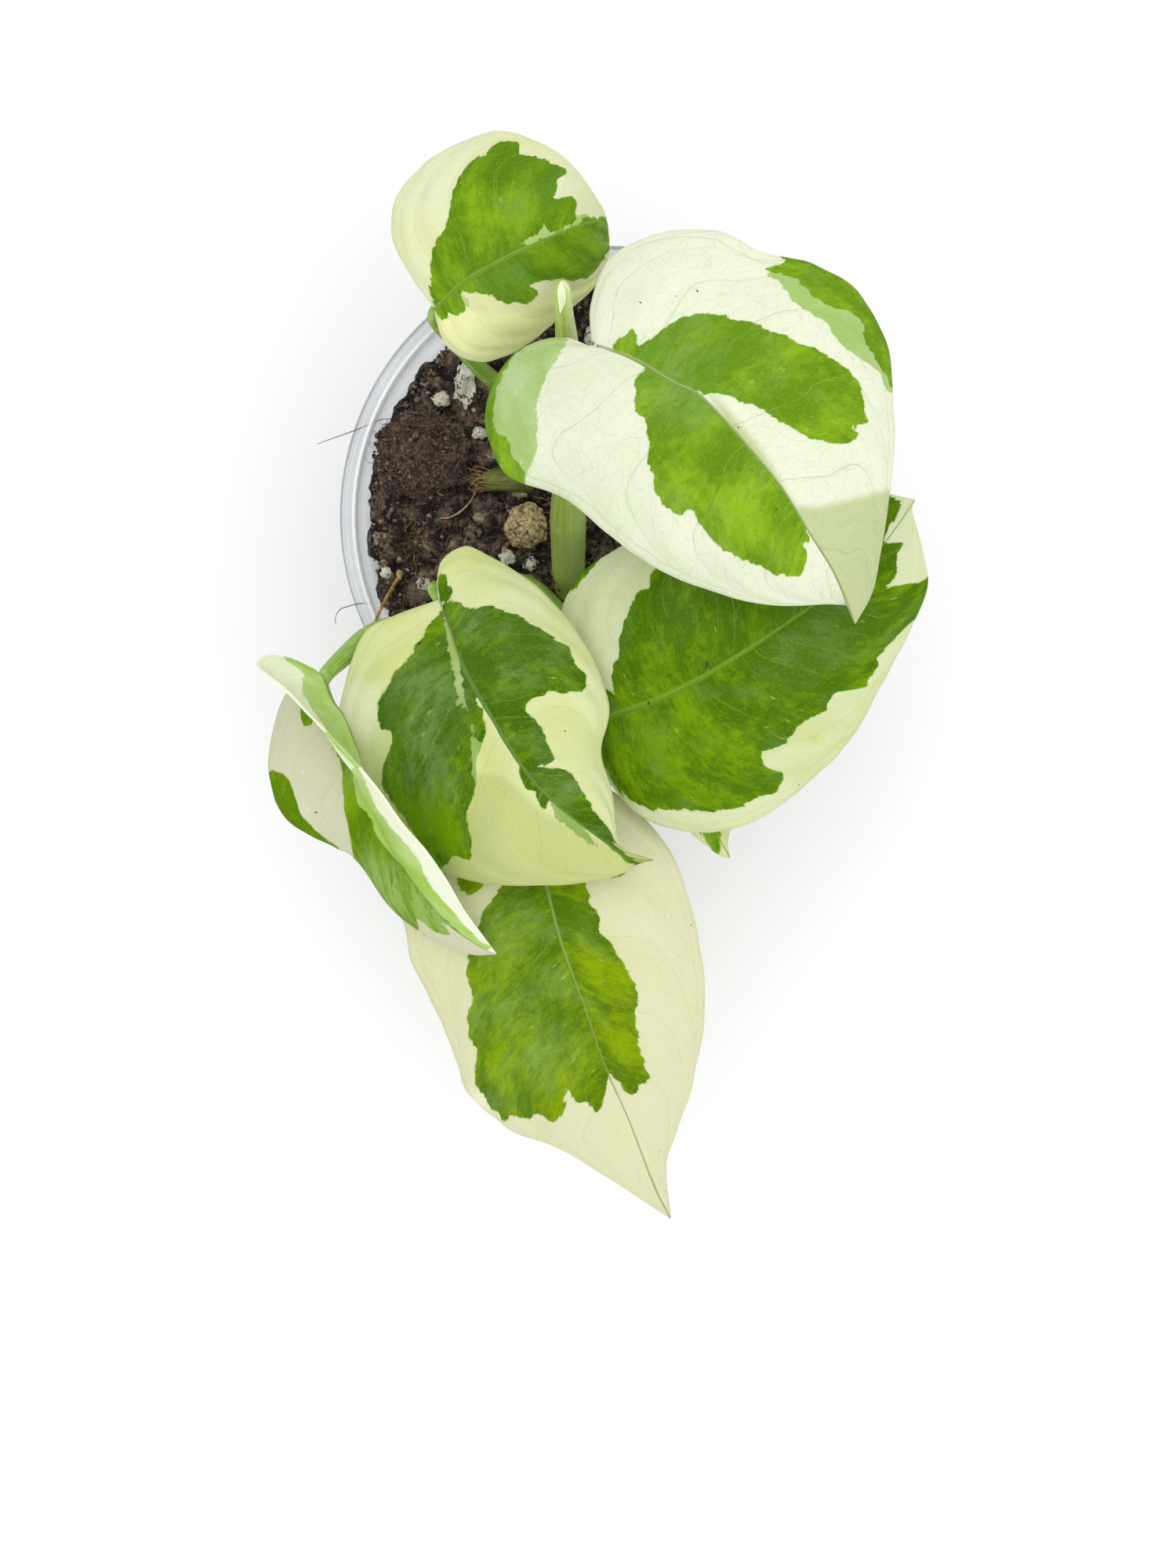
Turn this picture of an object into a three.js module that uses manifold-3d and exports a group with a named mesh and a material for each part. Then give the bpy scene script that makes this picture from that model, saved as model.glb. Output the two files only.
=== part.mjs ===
// A young pothos in a small clear nursery pot, seen here as the plant really grows:
// rooted cuttings in open potting mix, each leaf on its own stalk, and one leading vine.
// Millimetres, +Z up. The origin is the centre of the pot's flat bottom.
import * as THREE from "three";
import { mergeVertices } from "three/addons/utils/BufferGeometryUtils.js";
import Module from "manifold-3d";

const wasm = await Module();
wasm.setup();

// Pot and mix
const RIM_RADIUS = 45;
const POT_HEIGHT = 76;
const BASE_RADIUS = 31.5;
const WALL = 0.9;
const FLOOR = 1.2;
const LIP_WIDTH = 2.7;
const LIP_DEPTH = 2.6;
const COLLAR_DEPTH = 9;
const COLLAR_STEP = 0.9;
const POT_SIDES = 48;
const DRAIN_HOLES = 6;
const DRAIN_RADIUS = 2.5;
const DRAIN_CIRCLE = 20;
const SOIL_LEVEL = 67.5;
const SOIL_RELIEF = 1.5;
const SOIL_RINGS = 10;
const BURIED = 46;
const GAP = 0.3;

// Blades
const BLADE = 0.7;
const STEPS_ALONG = 15;
const STEPS_ACROSS = [0, 0.4, 0.75, 1];
const VEIN_SWEEP = 1.6;
const KEEL_STOPS = [0.03, 0.12, 0.22, 0.34, 0.46, 0.58, 0.7];
const KEEL_TIP = 0.35;
const KEEL_DROP = 0.05;
const STALK_SIDES = 6;
const STALK_STEPS = 16;

// Each leaf: points of the midrib, of both margins (seen from above, base to tip) and of the
// stalk from its buried foot up to the blade, all x, y, z; how far each half bows up between
// rib and margin; and the height and number of the small waves along the margin.
const LEAVES = {
  leaf_a: {
    colour: 0xc3d68a,
    mid: [[-27.5, 30, 98], [-23, 33.5, 101], [-18, 36, 103], [-12.5, 38.5, 104],
      [-7.5, 41, 102.5], [-3, 43.5, 98], [-0.5, 44.5, 92]],
    left: [[-28.5, 31.5, 97], [-33.5, 38.5, 98.5], [-34.5, 43, 99], [-33, 48, 99.5], [-26, 54.5, 100],
      [-17, 57, 99.5], [-8, 54, 98], [-2, 47.5, 94.5], [-0.5, 44.5, 92]],
    right: [[-27.5, 28.5, 97], [-25.5, 24.5, 94.5], [-20, 22.5, 93], [-13, 25.5, 93],
      [-6, 31.5, 92.5], [-2.5, 35.5, 91.5], [-0.5, 40, 90.5], [-0.5, 44.5, 92]],
    stalk: [[-16.5, 23, BURIED], [-17, 21.5, 66], [-18.5, 22.3, 72], [-21.2, 23.8, 78],
      [-25, 26.8, 84.5], [-27.9, 29, 91], [-28, 30, 95.5]],
    stalkRadius: 1.7,
    bow: [2.5, 2.2],
    wave: [0.3, 3],
  },
  leaf_b: {
    colour: 0xdfe8c8,
    mid: [[-2, 21, 114], [3.5, 18.5, 116.5], [9, 15, 117.5], [14, 12, 118], [24.5, 1, 114],
      [30, -6.5, 109.5], [34.5, -12.5, 104.5], [38.5, -19.5, 96]],
    left: [[-3, 22, 113], [-3, 28, 111.5], [0, 35, 112], [7.5, 38, 114], [15.5, 38, 115],
      [22, 34.7, 115.5], [30.3, 33.9, 112.5], [37.3, 29.9, 110], [42, 22.5, 107.5], [43.5, 13, 106],
      [43, 3, 104.5], [42, -8, 100.5], [41, -14.5, 97.5], [38.5, -19.5, 96]],
    right: [[-3, 20.5, 112.5], [-7, 23, 110], [-11.5, 23, 107.5], [-15.5, 21, 105],
      [-18.5, 16.5, 103], [-19.5, 10.5, 102.5], [-16.2, 3.4, 104], [-7.2, -0.9, 106.5],
      [-0.3, -6.5, 107], [10, -13, 105], [23, -16.5, 102], [35, -16.5, 99], [37.5, -17, 97],
      [38.5, -19.5, 96]],
    stalk: [[-6, 10.5, 93.5], [-5, 13, 99.5], [-4, 16, 106], [-3, 19, 111.5]],
    stalkRadius: 1.6,
    bow: [2.2, 2.6],
    wave: [0.3, 4],
  },
  leaf_c: {
    colour: 0x9fb673,
    mid: [[-27, -15.5, 94], [-25.5, -20, 96.5], [-23.5, -25.5, 99], [-20, -32, 101],
      [-13.5, -42.5, 101], [-9.5, -47, 99.5], [-5.5, -50.5, 97], [-1.5, -53.5, 93.5],
      [2.5, -56.5, 90], [7, -57, 88]],
    left: [[-27, -14.5, 93.5], [-27, -9.5, 92.5], [-24, -7, 92], [-21, -7.5, 92], [-12, -13.5, 93.5],
      [-4.5, -22, 95], [-0.5, -32.5, 94.5], [-1.5, -40, 93.5], [0, -46, 92.5], [1.5, -54.5, 90],
      [7, -57, 88]],
    right: [[-28, -16, 93], [-35.5, -18.5, 92.5], [-40, -22, 92], [-43.5, -32, 88.5],
      [-43, -39, 86], [-38, -49, 84.5], [-29.5, -57.5, 85.5], [-21.5, -60.5, 87.5],
      [-10, -61, 89], [0.5, -59.5, 89], [4.5, -57.5, 88.5], [7, -57, 88]],
    stalk: [[-24, -13.5, BURIED], [-23.5, -14.5, 64], [-25, -13.5, 71], [-27.5, -12.5, 82],
      [-28.5, -13.5, 90]],
    stalkRadius: 1.5,
    bow: [2.2, 2.4],
    wave: [0.3, 4],
  },
  leaf_d: {
    colour: 0x8fb04f,
    mid: [[-1, -34, 87], [6.5, -31.5, 90], [12, -29, 91.5], [17.5, -26, 92.5], [27.5, -19.5, 93],
      [38.5, -11.5, 91], [43.5, -6.5, 89], [49.5, 1.5, 85]],
    left: [[-2, -33.5, 86.5], [-6, -27, 87], [-8, -18, 87], [-5, -11.5, 87.5], [1.5, -6.5, 88.5],
      [12.5, -0.5, 90.5], [27.5, 2.5, 91], [41, 2.5, 88], [49.5, 1.5, 85]],
    right: [[-1, -35.5, 86], [-1, -42, 83.5], [4.5, -49.5, 82.5], [14, -52.5, 83], [24.5, -50, 85],
      [36.3, -40.3, 86.5], [43.9, -28.7, 85.5], [51, -14.5, 84.5], [51, -8, 85], [49, -0.5, 85],
      [49.5, 1.5, 85]],
    stalk: [[-17.5, -8, BURIED], [-16.8, -9.5, 64], [-14, -11.4, 68.5], [-10.2, -15.1, 73],
      [-7.3, -19.1, 77], [-4, -26, 82.5], [-2, -31, 85.5]],
    stalkRadius: 1.5,
    bow: [2, 2.2],
    wave: [0.3, 4],
  },
  leaf_e: {
    colour: 0xb2c98c,
    mid: [[-46, -27.5, 93], [-43.5, -31.5, 92], [-41.5, -35.5, 91.5], [-38.5, -46, 90.5],
      [-36.5, -52, 90], [-34, -57, 89], [-27, -66.5, 86.5], [-22, -70.5, 85], [-18.5, -72.5, 84]],
    left: [[-47, -28.5, 91.5], [-52, -30, 88.5], [-54.5, -36, 87], [-55, -43.5, 87],
      [-52.5, -50.5, 86], [-44.5, -55, 85], [-41.5, -57, 85], [-34, -66.5, 84], [-24, -72, 83.5],
      [-18.5, -72.5, 84]],
    right: [[-47, -26.5, 94.5], [-50.5, -25, 98], [-53.5, -24.6, 100.5], [-55, -25.8, 102.5],
      [-54, -27.2, 104], [-49.5, -30.5, 105],
      [-44.5, -36, 105.5], [-38, -43.5, 104], [-29.5, -54.5, 99], [-23.5, -65, 90.5],
      [-18.5, -72.5, 84]],
    stalk: [[-21, -21, BURIED], [-22, -19.5, 64], [-25, -19, 71], [-30, -19, 77],
      [-35, -19, 82], [-40, -20.6, 86.5], [-44, -24, 90.5]],
    stalkRadius: 1.9,
    bow: [-1, -2.5],
    wave: [0.2, 3],
  },
  leaf_f: {
    colour: 0xc7d68f,
    mid: [[-13, -48.5, 81], [-12, -54.5, 82], [-9.5, -65.5, 82], [-7.5, -72.5, 80.5],
      [-4.5, -81, 77], [-1, -91.5, 71.5], [3.5, -102.5, 65], [8, -115, 57], [11, -121.5, 52]],
    left: [[-12, -47.5, 80.5], [-7.5, -44, 79.5], [0.5, -46, 78.5], [8.5, -54, 77.5],
      [12.5, -62, 76.5], [15.5, -74, 73.5], [15.5, -89.5, 67.5], [12, -103.5, 61], [10, -111, 57],
      [11, -121.5, 52]],
    right: [[-14, -47.5, 80.5], [-20, -46.5, 79.5], [-29, -51.5, 78.5], [-34.5, -62, 77.5],
      [-33.5, -71.5, 76], [-28.5, -84, 72], [-24, -96.5, 67], [-17, -104, 63.5], [-8, -108, 60.5],
      [1, -114, 57.5], [11, -121.5, 52]],
    stalk: [[-10.5, -26, BURIED], [-10.5, -27.5, 64], [-11.5, -32, 71.5], [-12, -38, 77],
      [-12.5, -44, 79.5]],
    stalkRadius: 1.4,
    bow: [2.2, 2.4],
    wave: [0.4, 4],
  },
  leaf_g: {
    colour: 0xa9c06a,
    mid: [[11.5, -32.5, 76], [12.5, -37, 79], [13.5, -42, 81], [15.5, -48, 80.5],
      [17.5, -52.5, 78.5], [20, -57, 75.5]],
    left: [[12.5, -32, 76], [18, -31.5, 77], [22, -39, 79], [21, -48, 79], [19.5, -54, 77],
      [20, -57, 75.5]],
    right: [[11, -31.5, 76], [6.5, -34, 77], [6, -42, 79.5], [11.5, -50.5, 78.5], [17.5, -56, 76],
      [20, -57, 75.5]],
    stalk: [[5, -17.5, BURIED], [5, -19, 64], [6.5, -23, 69], [9, -27.5, 73]],
    stalkRadius: 1.2,
    bow: [1.2, 1.2],
    wave: [0.2, 3],
  },
};

// The leading vine, its rolled youngest leaf, and the old cutting it sprouted from
const VINE = [[-7, -12.5, BURIED], [-6.5, -11.5, 64], [-6.5, -9.5, 71], [-6.5, -4.5, 78],
  [-6.5, 1, 85], [-6, 10.5, 92], [-6.2, 18.5, 97], [-6.4, 22, 99.5]];
const VINE_RADII = [2.2, 2.3, 2.5, 2.8, 3, 2.6, 2.3, 2.1];
const SHOOT = [[-6.4, 22.3, 100], [-6.7, 24.2, 102], [-7.2, 27, 105.5], [-7.8, 29.8, 108.8],
  [-8.1, 31.4, 110.5]];
const SHOOT_RADII = [2, 1.95, 1.75, 1.3, 0.4];
const CUTTING = [[-21.5, 6.6, 69.3], [-18, 6.8, 69], [-13, 6.8, 68]];
const CUTTING_RADII = [1.8, 2, 1.9];
const VINE_SIDES = 9;

// Roots run out and down from each buried foot: how many, how long, how steep
const ROOTS_EACH = 3;
const ROOT_LENGTH = 14;
const ROOT_DROP = 3.4;
const ROOT_RADIUS = 0.9;
const ROOT_TIP = 0.45;
const ROOT_SIDES = 5;

// Loose things lying in the surface of the mix: centre and half sizes
const PEAT_LUMP = { centre: [-31.4, 11, 69.2], half: [8, 8, 4.6], detail: 2, rough: 0.05 };
const CLAY_PEBBLE = { centre: [-14, -1, 69.5], half: [3.5, 3.6, 3.3], detail: 1, rough: 0.06 };
const PERLITE = [
  { centre: [-28.5, 20.5, 69], half: [1.8, 1.4, 1.3] },
  { centre: [-24.5, 23, 69], half: [2, 4.4, 1.8] },
  { centre: [-22, 14.8, 68.3], half: [1.4, 1.2, 1.2] },
  { centre: [-17.3, -6.2, 68.3], half: [1.6, 1.7, 1.4] },
  { centre: [-13.5, -7.4, 68.4], half: [1.3, 1.4, 1.2] },
  { centre: [-31.5, -10.7, 68], half: [1.5, 1.2, 1.1] },
  { centre: [-37.9, -8.8, 68], half: [1.1, 1.1, 1] },
  { centre: [-3.3, 31, 68.5], half: [1.1, 2, 1.2] },
];
const STRAW = [[-35.3, -8.6, 66.5], [-36.4, -11, 70], [-37.8, -14.5, 74.4], [-39, -18, 77.6],
  [-39.7, -20, 78.9]];
const STRAW_RADII = [0.5, 0.45, 0.45, 0.4, 0.35];
const ROOT_CURL = [[-29.3, 0.6, 67], [-27, 0.5, 68.8], [-24.4, 2.2, 68.9], [-22.7, 5, 66.6]];
const ROOT_CURL_RADII = [0.4, 0.45, 0.45, 0.4];

const vector = (p) => new THREE.Vector3(...p);
const curve = (points) => new THREE.CatmullRomCurve3(points.map(vector), false, "catmullrom", 0.5);

// Seeded draws, so that each build gives the same plant
function draws(seed) {
  let state = seed;
  return () => {
    state = (state * 1664525 + 1013904223) % 4294967296;
    return state / 4294967296;
  };
}

function geometry(positions, indices) {
  const made = new THREE.BufferGeometry();
  made.setAttribute("position", new THREE.Float32BufferAttribute(positions, 3));
  made.setIndex(indices);
  return made;
}

// Booleans on closed meshes
function solid(source) {
  const plain = source.clone();
  plain.deleteAttribute("normal");
  plain.deleteAttribute("uv");
  const merged = mergeVertices(plain, 1e-5);
  return new wasm.Manifold(new wasm.Mesh({
    numProp: 3,
    vertProperties: new Float32Array(merged.attributes.position.array),
    triVerts: new Uint32Array(merged.index.array),
  }));
}

// The outer skin alone: a hollow or a scrap that joining leaves is dropped
function fromSolid(body) {
  const [skin] = body.decompose().sort((a, b) => b.volume() - a.volume());
  const mesh = skin.getMesh();
  return geometry(Array.from(mesh.vertProperties), Array.from(mesh.triVerts));
}

// A closed tube whose radius follows a list along its path. With spare it is made fatter and
// longer by that much all round, which is the shape of the hole that the tube stands in.
function tube(path, radii, sides, steps, spare = 0) {
  const line = curve(path);
  const frames = line.computeFrenetFrames(steps, false);
  const positions = [];
  const indices = [];
  for (let i = 0; i <= steps; i++) {
    const at = i / steps;
    const place = line.getPointAt(at);
    if (i === 0) place.addScaledVector(frames.tangents[0], -spare);
    if (i === steps) place.addScaledVector(frames.tangents[steps], spare);
    const span = at * (radii.length - 1);
    const low = Math.min(Math.floor(span), radii.length - 2);
    const radius = spare + THREE.MathUtils.lerp(radii[low], radii[low + 1], span - low);
    for (let j = 0; j < sides; j++) {
      const turn = (2 * Math.PI * j) / sides;
      const out = frames.normals[i].clone().multiplyScalar(Math.cos(turn) * radius);
      out.addScaledVector(frames.binormals[i], Math.sin(turn) * radius);
      positions.push(place.x + out.x, place.y + out.y, place.z + out.z);
    }
  }
  for (let i = 0; i < steps; i++) {
    for (let j = 0; j < sides; j++) {
      const a = i * sides + j;
      const b = i * sides + ((j + 1) % sides);
      indices.push(a, b, b + sides, a, b + sides, a + sides);
    }
  }
  const last = steps * sides;
  for (let j = 1; j < sides - 1; j++) {
    indices.push(0, j + 1, j);
    indices.push(last, last + j, last + j + 1);
  }
  return geometry(positions, indices);
}

// A point of a blade: along 0..1 from base to tip, side -1 or 1, across 0..1 from rib to margin
function bladePoint(leaf, along, side, across) {
  const rib = leaf.midCurve.getPointAt(Math.pow(along, VEIN_SWEEP));
  const ahead = leaf.midCurve.getTangentAt(Math.pow(along, VEIN_SWEEP));
  const margin = (side > 0 ? leaf.leftCurve : leaf.rightCurve).getPointAt(along);
  const reach = margin.clone().sub(rib);
  const upward = side > 0 ? ahead.clone().cross(reach) : reach.clone().cross(ahead);
  upward.normalize();
  const width = Math.sin(Math.PI * Math.min(1, along * 1.1));
  const bow = leaf.bow[side > 0 ? 0 : 1] * 4 * across * (1 - across) * width;
  const wave = leaf.wave[0] * across * across * width
    * Math.sin(2 * Math.PI * leaf.wave[1] * along + side);
  return rib.addScaledVector(reach, across).addScaledVector(upward, bow + wave);
}

// The blade is one closed sheet, split into the same triangles on both faces
function blade(leaf) {
  const across = [...STEPS_ACROSS.slice(1).reverse().map((s) => [1, s]), [1, 0],
    ...STEPS_ACROSS.slice(1).map((s) => [-1, s])];
  const columns = across.length;
  const middle = [];
  for (let i = 0; i < STEPS_ALONG; i++) {
    for (const [side, s] of across) middle.push(bladePoint(leaf, i / STEPS_ALONG, side, s));
  }
  middle.push(bladePoint(leaf, 1, 1, 0));
  const tip = middle.length - 1;
  const faces = [];
  for (let i = 0; i < STEPS_ALONG - 1; i++) {
    for (let j = 0; j < columns - 1; j++) {
      const a = i * columns + j;
      faces.push([a, a + 1, a + columns + 1], [a, a + columns + 1, a + columns]);
    }
  }
  const lastRow = (STEPS_ALONG - 1) * columns;
  for (let j = 0; j < columns - 1; j++) faces.push([lastRow + j, lastRow + j + 1, tip]);
  const normals = middle.map(() => new THREE.Vector3());
  for (const [a, b, c] of faces) {
    const face = middle[c].clone().sub(middle[a]).cross(middle[b].clone().sub(middle[a]));
    for (const corner of [a, b, c]) normals[corner].sub(face);
  }
  const positions = [];
  for (const face of [1, -1]) {
    middle.forEach((point, k) => {
      const shifted = point.clone().addScaledVector(normals[k].clone().normalize(), face * BLADE / 2);
      positions.push(shifted.x, shifted.y, shifted.z);
    });
  }
  const under = middle.length;
  const indices = [];
  for (const [a, b, c] of faces) {
    indices.push(a, b, c);
    indices.push(under + a, under + c, under + b);
  }
  const wall = (a, b) => indices.push(b, a, under + a, b, under + a, under + b);
  for (let i = 0; i < STEPS_ALONG - 1; i++) {
    wall((i + 1) * columns, i * columns);
    wall(i * columns + columns - 1, (i + 1) * columns + columns - 1);
  }
  wall(tip, lastRow);
  wall(lastRow + columns - 1, tip);
  for (let j = 0; j < columns - 1; j++) wall(j, j + 1);
  return geometry(positions, indices);
}

// The stalk runs on under the blade as its keel and thins out before the tip
function stalkPath(leaf) {
  const path = leaf.stalk.map(vector);
  const radii = leaf.stalk.map((p, i) => leaf.stalkRadius * (i === 0 ? 1 : 1.1 - 0.06 * i));
  for (const reach of KEEL_STOPS) {
    const left = bladePoint(leaf, Math.pow(reach, 1 / VEIN_SWEEP), 1, 0.15);
    const right = bladePoint(leaf, Math.pow(reach, 1 / VEIN_SWEEP), -1, 0.15);
    const rib = leaf.midCurve.getPointAt(reach);
    const ahead = leaf.midCurve.getTangentAt(reach);
    const upward = ahead.clone().cross(left.sub(right)).normalize();
    const thinning = reach / KEEL_STOPS.at(-1);
    const radius = THREE.MathUtils.lerp(leaf.stalkRadius * 0.8, KEEL_TIP, thinning);
    path.push(rib.addScaledVector(upward, -radius - KEEL_DROP));
    radii.push(radius);
  }
  return { path: path.map((p) => p.toArray()), radii };
}

// Roots leave a buried foot in a fan, straight and tapering
function roots(foot, seed) {
  const draw = draws(seed);
  const made = [];
  const first = draw() * 2 * Math.PI;
  for (let k = 0; k < ROOTS_EACH; k++) {
    const turn = first + (2 * Math.PI * (k + 0.4 * draw())) / ROOTS_EACH;
    const length = ROOT_LENGTH * (0.7 + 0.3 * draw());
    const start = new THREE.Vector3(foot[0], foot[1], foot[2] + 1.5);
    const run = new THREE.Vector3(Math.cos(turn), Math.sin(turn), -ROOT_DROP).setLength(length);
    made.push([start.toArray(), start.clone().addScaledVector(run, 0.5).toArray(),
      start.clone().add(run).toArray()]);
  }
  return made;
}

// A stalk or vine with the roots at its foot
function rooted(path, radii, sides, steps, seed, spare) {
  let body = solid(tube(path, radii, sides, steps, spare));
  for (const root of roots(path[0], seed)) {
    body = body.add(solid(tube(root, [ROOT_RADIUS, ROOT_TIP], ROOT_SIDES, 1, spare)));
  }
  return body;
}

function lump({ centre, half, detail = 1, rough = 0.08 }, seed, spare = 0) {
  const shape = mergeVertices((() => {
    const ball = new THREE.IcosahedronGeometry(1, detail);
    ball.deleteAttribute("normal");
    ball.deleteAttribute("uv");
    return ball;
  })(), 1e-4);
  const draw = draws(seed);
  const place = shape.attributes.position;
  for (let i = 0; i < place.count; i++) {
    const swell = 1 + rough * (2 * draw() - 1);
    place.setXYZ(i,
      centre[0] + place.getX(i) * (half[0] * swell + spare),
      centre[1] + place.getY(i) * (half[1] * swell + spare),
      centre[2] + place.getZ(i) * (half[2] * swell + spare));
  }
  return solid(shape);
}

// Pot: thin tapered wall, a stepped collar and a rolled lip, drain holes round a flat middle
function pot() {
  const collar = POT_HEIGHT - COLLAR_DEPTH;
  const lipInner = RIM_RADIUS - LIP_WIDTH;
  const collarOuter = lipInner + WALL;
  const wallTop = collarOuter - COLLAR_STEP - 0.4;
  const profile = [
    [0, 0], [BASE_RADIUS - 1, 0], [BASE_RADIUS, 1], [wallTop, collar - 0.8],
    [collarOuter - 0.3, collar + 0.7], [collarOuter, POT_HEIGHT - LIP_DEPTH],
    [RIM_RADIUS - 0.5, POT_HEIGHT - LIP_DEPTH], [RIM_RADIUS, POT_HEIGHT - LIP_DEPTH + 0.6],
    [RIM_RADIUS, POT_HEIGHT - 0.7], [RIM_RADIUS - 0.5, POT_HEIGHT],
    [lipInner + 0.6, POT_HEIGHT], [lipInner, POT_HEIGHT - 0.6],
    [lipInner - 0.3, collar + 1.2], [wallTop - WALL, collar - 0.4],
    [BASE_RADIUS - WALL, FLOOR + 0.8], [BASE_RADIUS - WALL - 0.8, FLOOR], [0, FLOOR],
  ].map(([r, z]) => new THREE.Vector2(r, z));
  const shell = new THREE.LatheGeometry(profile, POT_SIDES);
  shell.rotateX(Math.PI / 2);
  let body = solid(shell);
  for (let k = 0; k < DRAIN_HOLES; k++) {
    const turn = (2 * Math.PI * k) / DRAIN_HOLES;
    const hole = new THREE.CylinderGeometry(DRAIN_RADIUS, DRAIN_RADIUS, 4 * FLOOR, 12);
    hole.rotateX(Math.PI / 2);
    hole.translate(DRAIN_CIRCLE * Math.cos(turn), DRAIN_CIRCLE * Math.sin(turn), 0);
    body = body.subtract(solid(hole));
  }
  return fromSolid(body);
}

// Height of the mix: low knolls and dips, a little lower against the wall
function soilHeight(x, y, knolls) {
  let z = SOIL_LEVEL;
  for (const knoll of knolls) {
    const away = Math.hypot(x - knoll.x, y - knoll.y) / knoll.spread;
    z += knoll.rise * Math.exp(-away * away);
  }
  return z;
}

function soilBlock() {
  const draw = draws(11);
  const knolls = [];
  for (let k = 0; k < 34; k++) {
    const turn = 2 * Math.PI * draw();
    const out = 40 * Math.sqrt(draw());
    knolls.push({
      x: out * Math.cos(turn), y: out * Math.sin(turn),
      spread: 3.5 + 4 * draw(), rise: SOIL_RELIEF * (2 * draw() - 1),
    });
  }
  const foot = BASE_RADIUS - WALL - 0.8 - GAP;
  const collar = POT_HEIGHT - COLLAR_DEPTH;
  const shoulder = RIM_RADIUS - LIP_WIDTH - COLLAR_STEP - 0.4 - GAP - 0.2;
  const bottom = FLOOR + GAP;
  const positions = [0, 0, bottom];
  const indices = [];
  const ring = (radius, height) => {
    for (let j = 0; j < POT_SIDES; j++) {
      const turn = (2 * Math.PI * j) / POT_SIDES;
      const x = radius * Math.sin(turn);
      const y = radius * Math.cos(turn);
      positions.push(x, y, height === null ? soilHeight(x, y, knolls) : height);
    }
  };
  ring(foot, bottom);
  ring(foot + 0.7, bottom + 0.9);
  ring(shoulder, collar - 1.6);
  for (let k = 0; k < SOIL_RINGS; k++) ring(shoulder * (1 - k / SOIL_RINGS), null);
  positions.push(0, 0, soilHeight(0, 0, knolls));
  const rows = 3 + SOIL_RINGS;
  for (let j = 0; j < POT_SIDES; j++) {
    const next = (j + 1) % POT_SIDES;
    indices.push(0, 1 + j, 1 + next);
    for (let i = 0; i < rows - 1; i++) {
      const a = 1 + i * POT_SIDES + j;
      const b = 1 + i * POT_SIDES + next;
      indices.push(a, a + POT_SIDES, b + POT_SIDES, a, b + POT_SIDES, b);
    }
    const top = 1 + (rows - 1) * POT_SIDES;
    indices.push(top + j, 1 + rows * POT_SIDES, top + next);
  }
  return solid(geometry(positions, indices));
}

// Materials
const CLEAR = { color: 0xdfe3e6, roughness: 0.15, metalness: 0, transparent: true, opacity: 0.35 };
const MIX = { color: 0x3a2c24, roughness: 1, metalness: 0 };
const PEAT = { color: 0x4a362a, roughness: 1, metalness: 0 };
const CLAY = { color: 0xa08560, roughness: 0.9, metalness: 0 };
const WHITE_GRIT = { color: 0xe4e2da, roughness: 0.9, metalness: 0 };
const STEM = { color: 0x86a95a, roughness: 0.45, metalness: 0 };
const OLD_STEM = { color: 0x7f8f4a, roughness: 0.7, metalness: 0 };
const DRY = { color: 0xb89a5e, roughness: 0.8, metalness: 0 };
const ROOT = { color: 0x9a6a48, roughness: 0.8, metalness: 0 };

const plant = new THREE.Group();
function addPiece(name, shape, look) {
  const piece = new THREE.Mesh(shape, new THREE.MeshStandardMaterial(look));
  piece.name = name;
  plant.add(piece);
}

addPiece("pot", pot(), CLEAR);
let soil = soilBlock();

// Vine, shoot and cutting
const vineSeed = 21;
const vine = (spare) => rooted(VINE, VINE_RADII, VINE_SIDES, 16, vineSeed, spare);
addPiece("vine", fromSolid(vine(0)), STEM);
soil = soil.subtract(vine(GAP));
const shoot = solid(tube(SHOOT, SHOOT_RADII, VINE_SIDES, 8)).subtract(vine(GAP));
addPiece("shoot", fromSolid(shoot), STEM);
const cutting = (spare) => solid(tube(CUTTING, CUTTING_RADII, VINE_SIDES, 4, spare));
addPiece("old_cutting", fromSolid(cutting(0)), OLD_STEM);
soil = soil.subtract(cutting(GAP));

// Leaves
let seed = 31;
for (const [name, leaf] of Object.entries(LEAVES)) {
  leaf.midCurve = curve(leaf.mid);
  leaf.leftCurve = curve(leaf.left);
  leaf.rightCurve = curve(leaf.right);
  const { path, radii } = stalkPath(leaf);
  const sheet = solid(blade(leaf));
  const standsInSoil = leaf.stalk[0][2] === BURIED;
  if (standsInSoil) {
    const body = rooted(path, radii, STALK_SIDES, STALK_STEPS, seed, 0).add(sheet);
    addPiece(name, fromSolid(body), { color: leaf.colour, roughness: 0.4, metalness: 0 });
    soil = soil.subtract(rooted(path, radii, STALK_SIDES, STALK_STEPS, seed, GAP));
  } else {
    const body = solid(tube(path, radii, STALK_SIDES, STALK_STEPS)).add(sheet).subtract(vine(GAP));
    addPiece(name, fromSolid(body), { color: leaf.colour, roughness: 0.4, metalness: 0 });
  }
  seed += 1;
}

// Loose pieces in the surface
addPiece("peat_lump", fromSolid(lump(PEAT_LUMP, 5)), PEAT);
soil = soil.subtract(lump(PEAT_LUMP, 5, GAP));
addPiece("clay_pebble", fromSolid(lump(CLAY_PEBBLE, 6)), CLAY);
soil = soil.subtract(lump(CLAY_PEBBLE, 6, GAP));
PERLITE.forEach((grain, k) => {
  addPiece(`perlite_${k + 1}`, fromSolid(lump(grain, 60 + k)), WHITE_GRIT);
  soil = soil.subtract(lump(grain, 60 + k, GAP));
});
const straw = (spare) => solid(tube(STRAW, STRAW_RADII, 5, 6, spare));
addPiece("dry_straw", fromSolid(straw(0)), DRY);
soil = soil.subtract(straw(GAP));
const curl = (spare) => solid(tube(ROOT_CURL, ROOT_CURL_RADII, 5, 6, spare));
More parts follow.
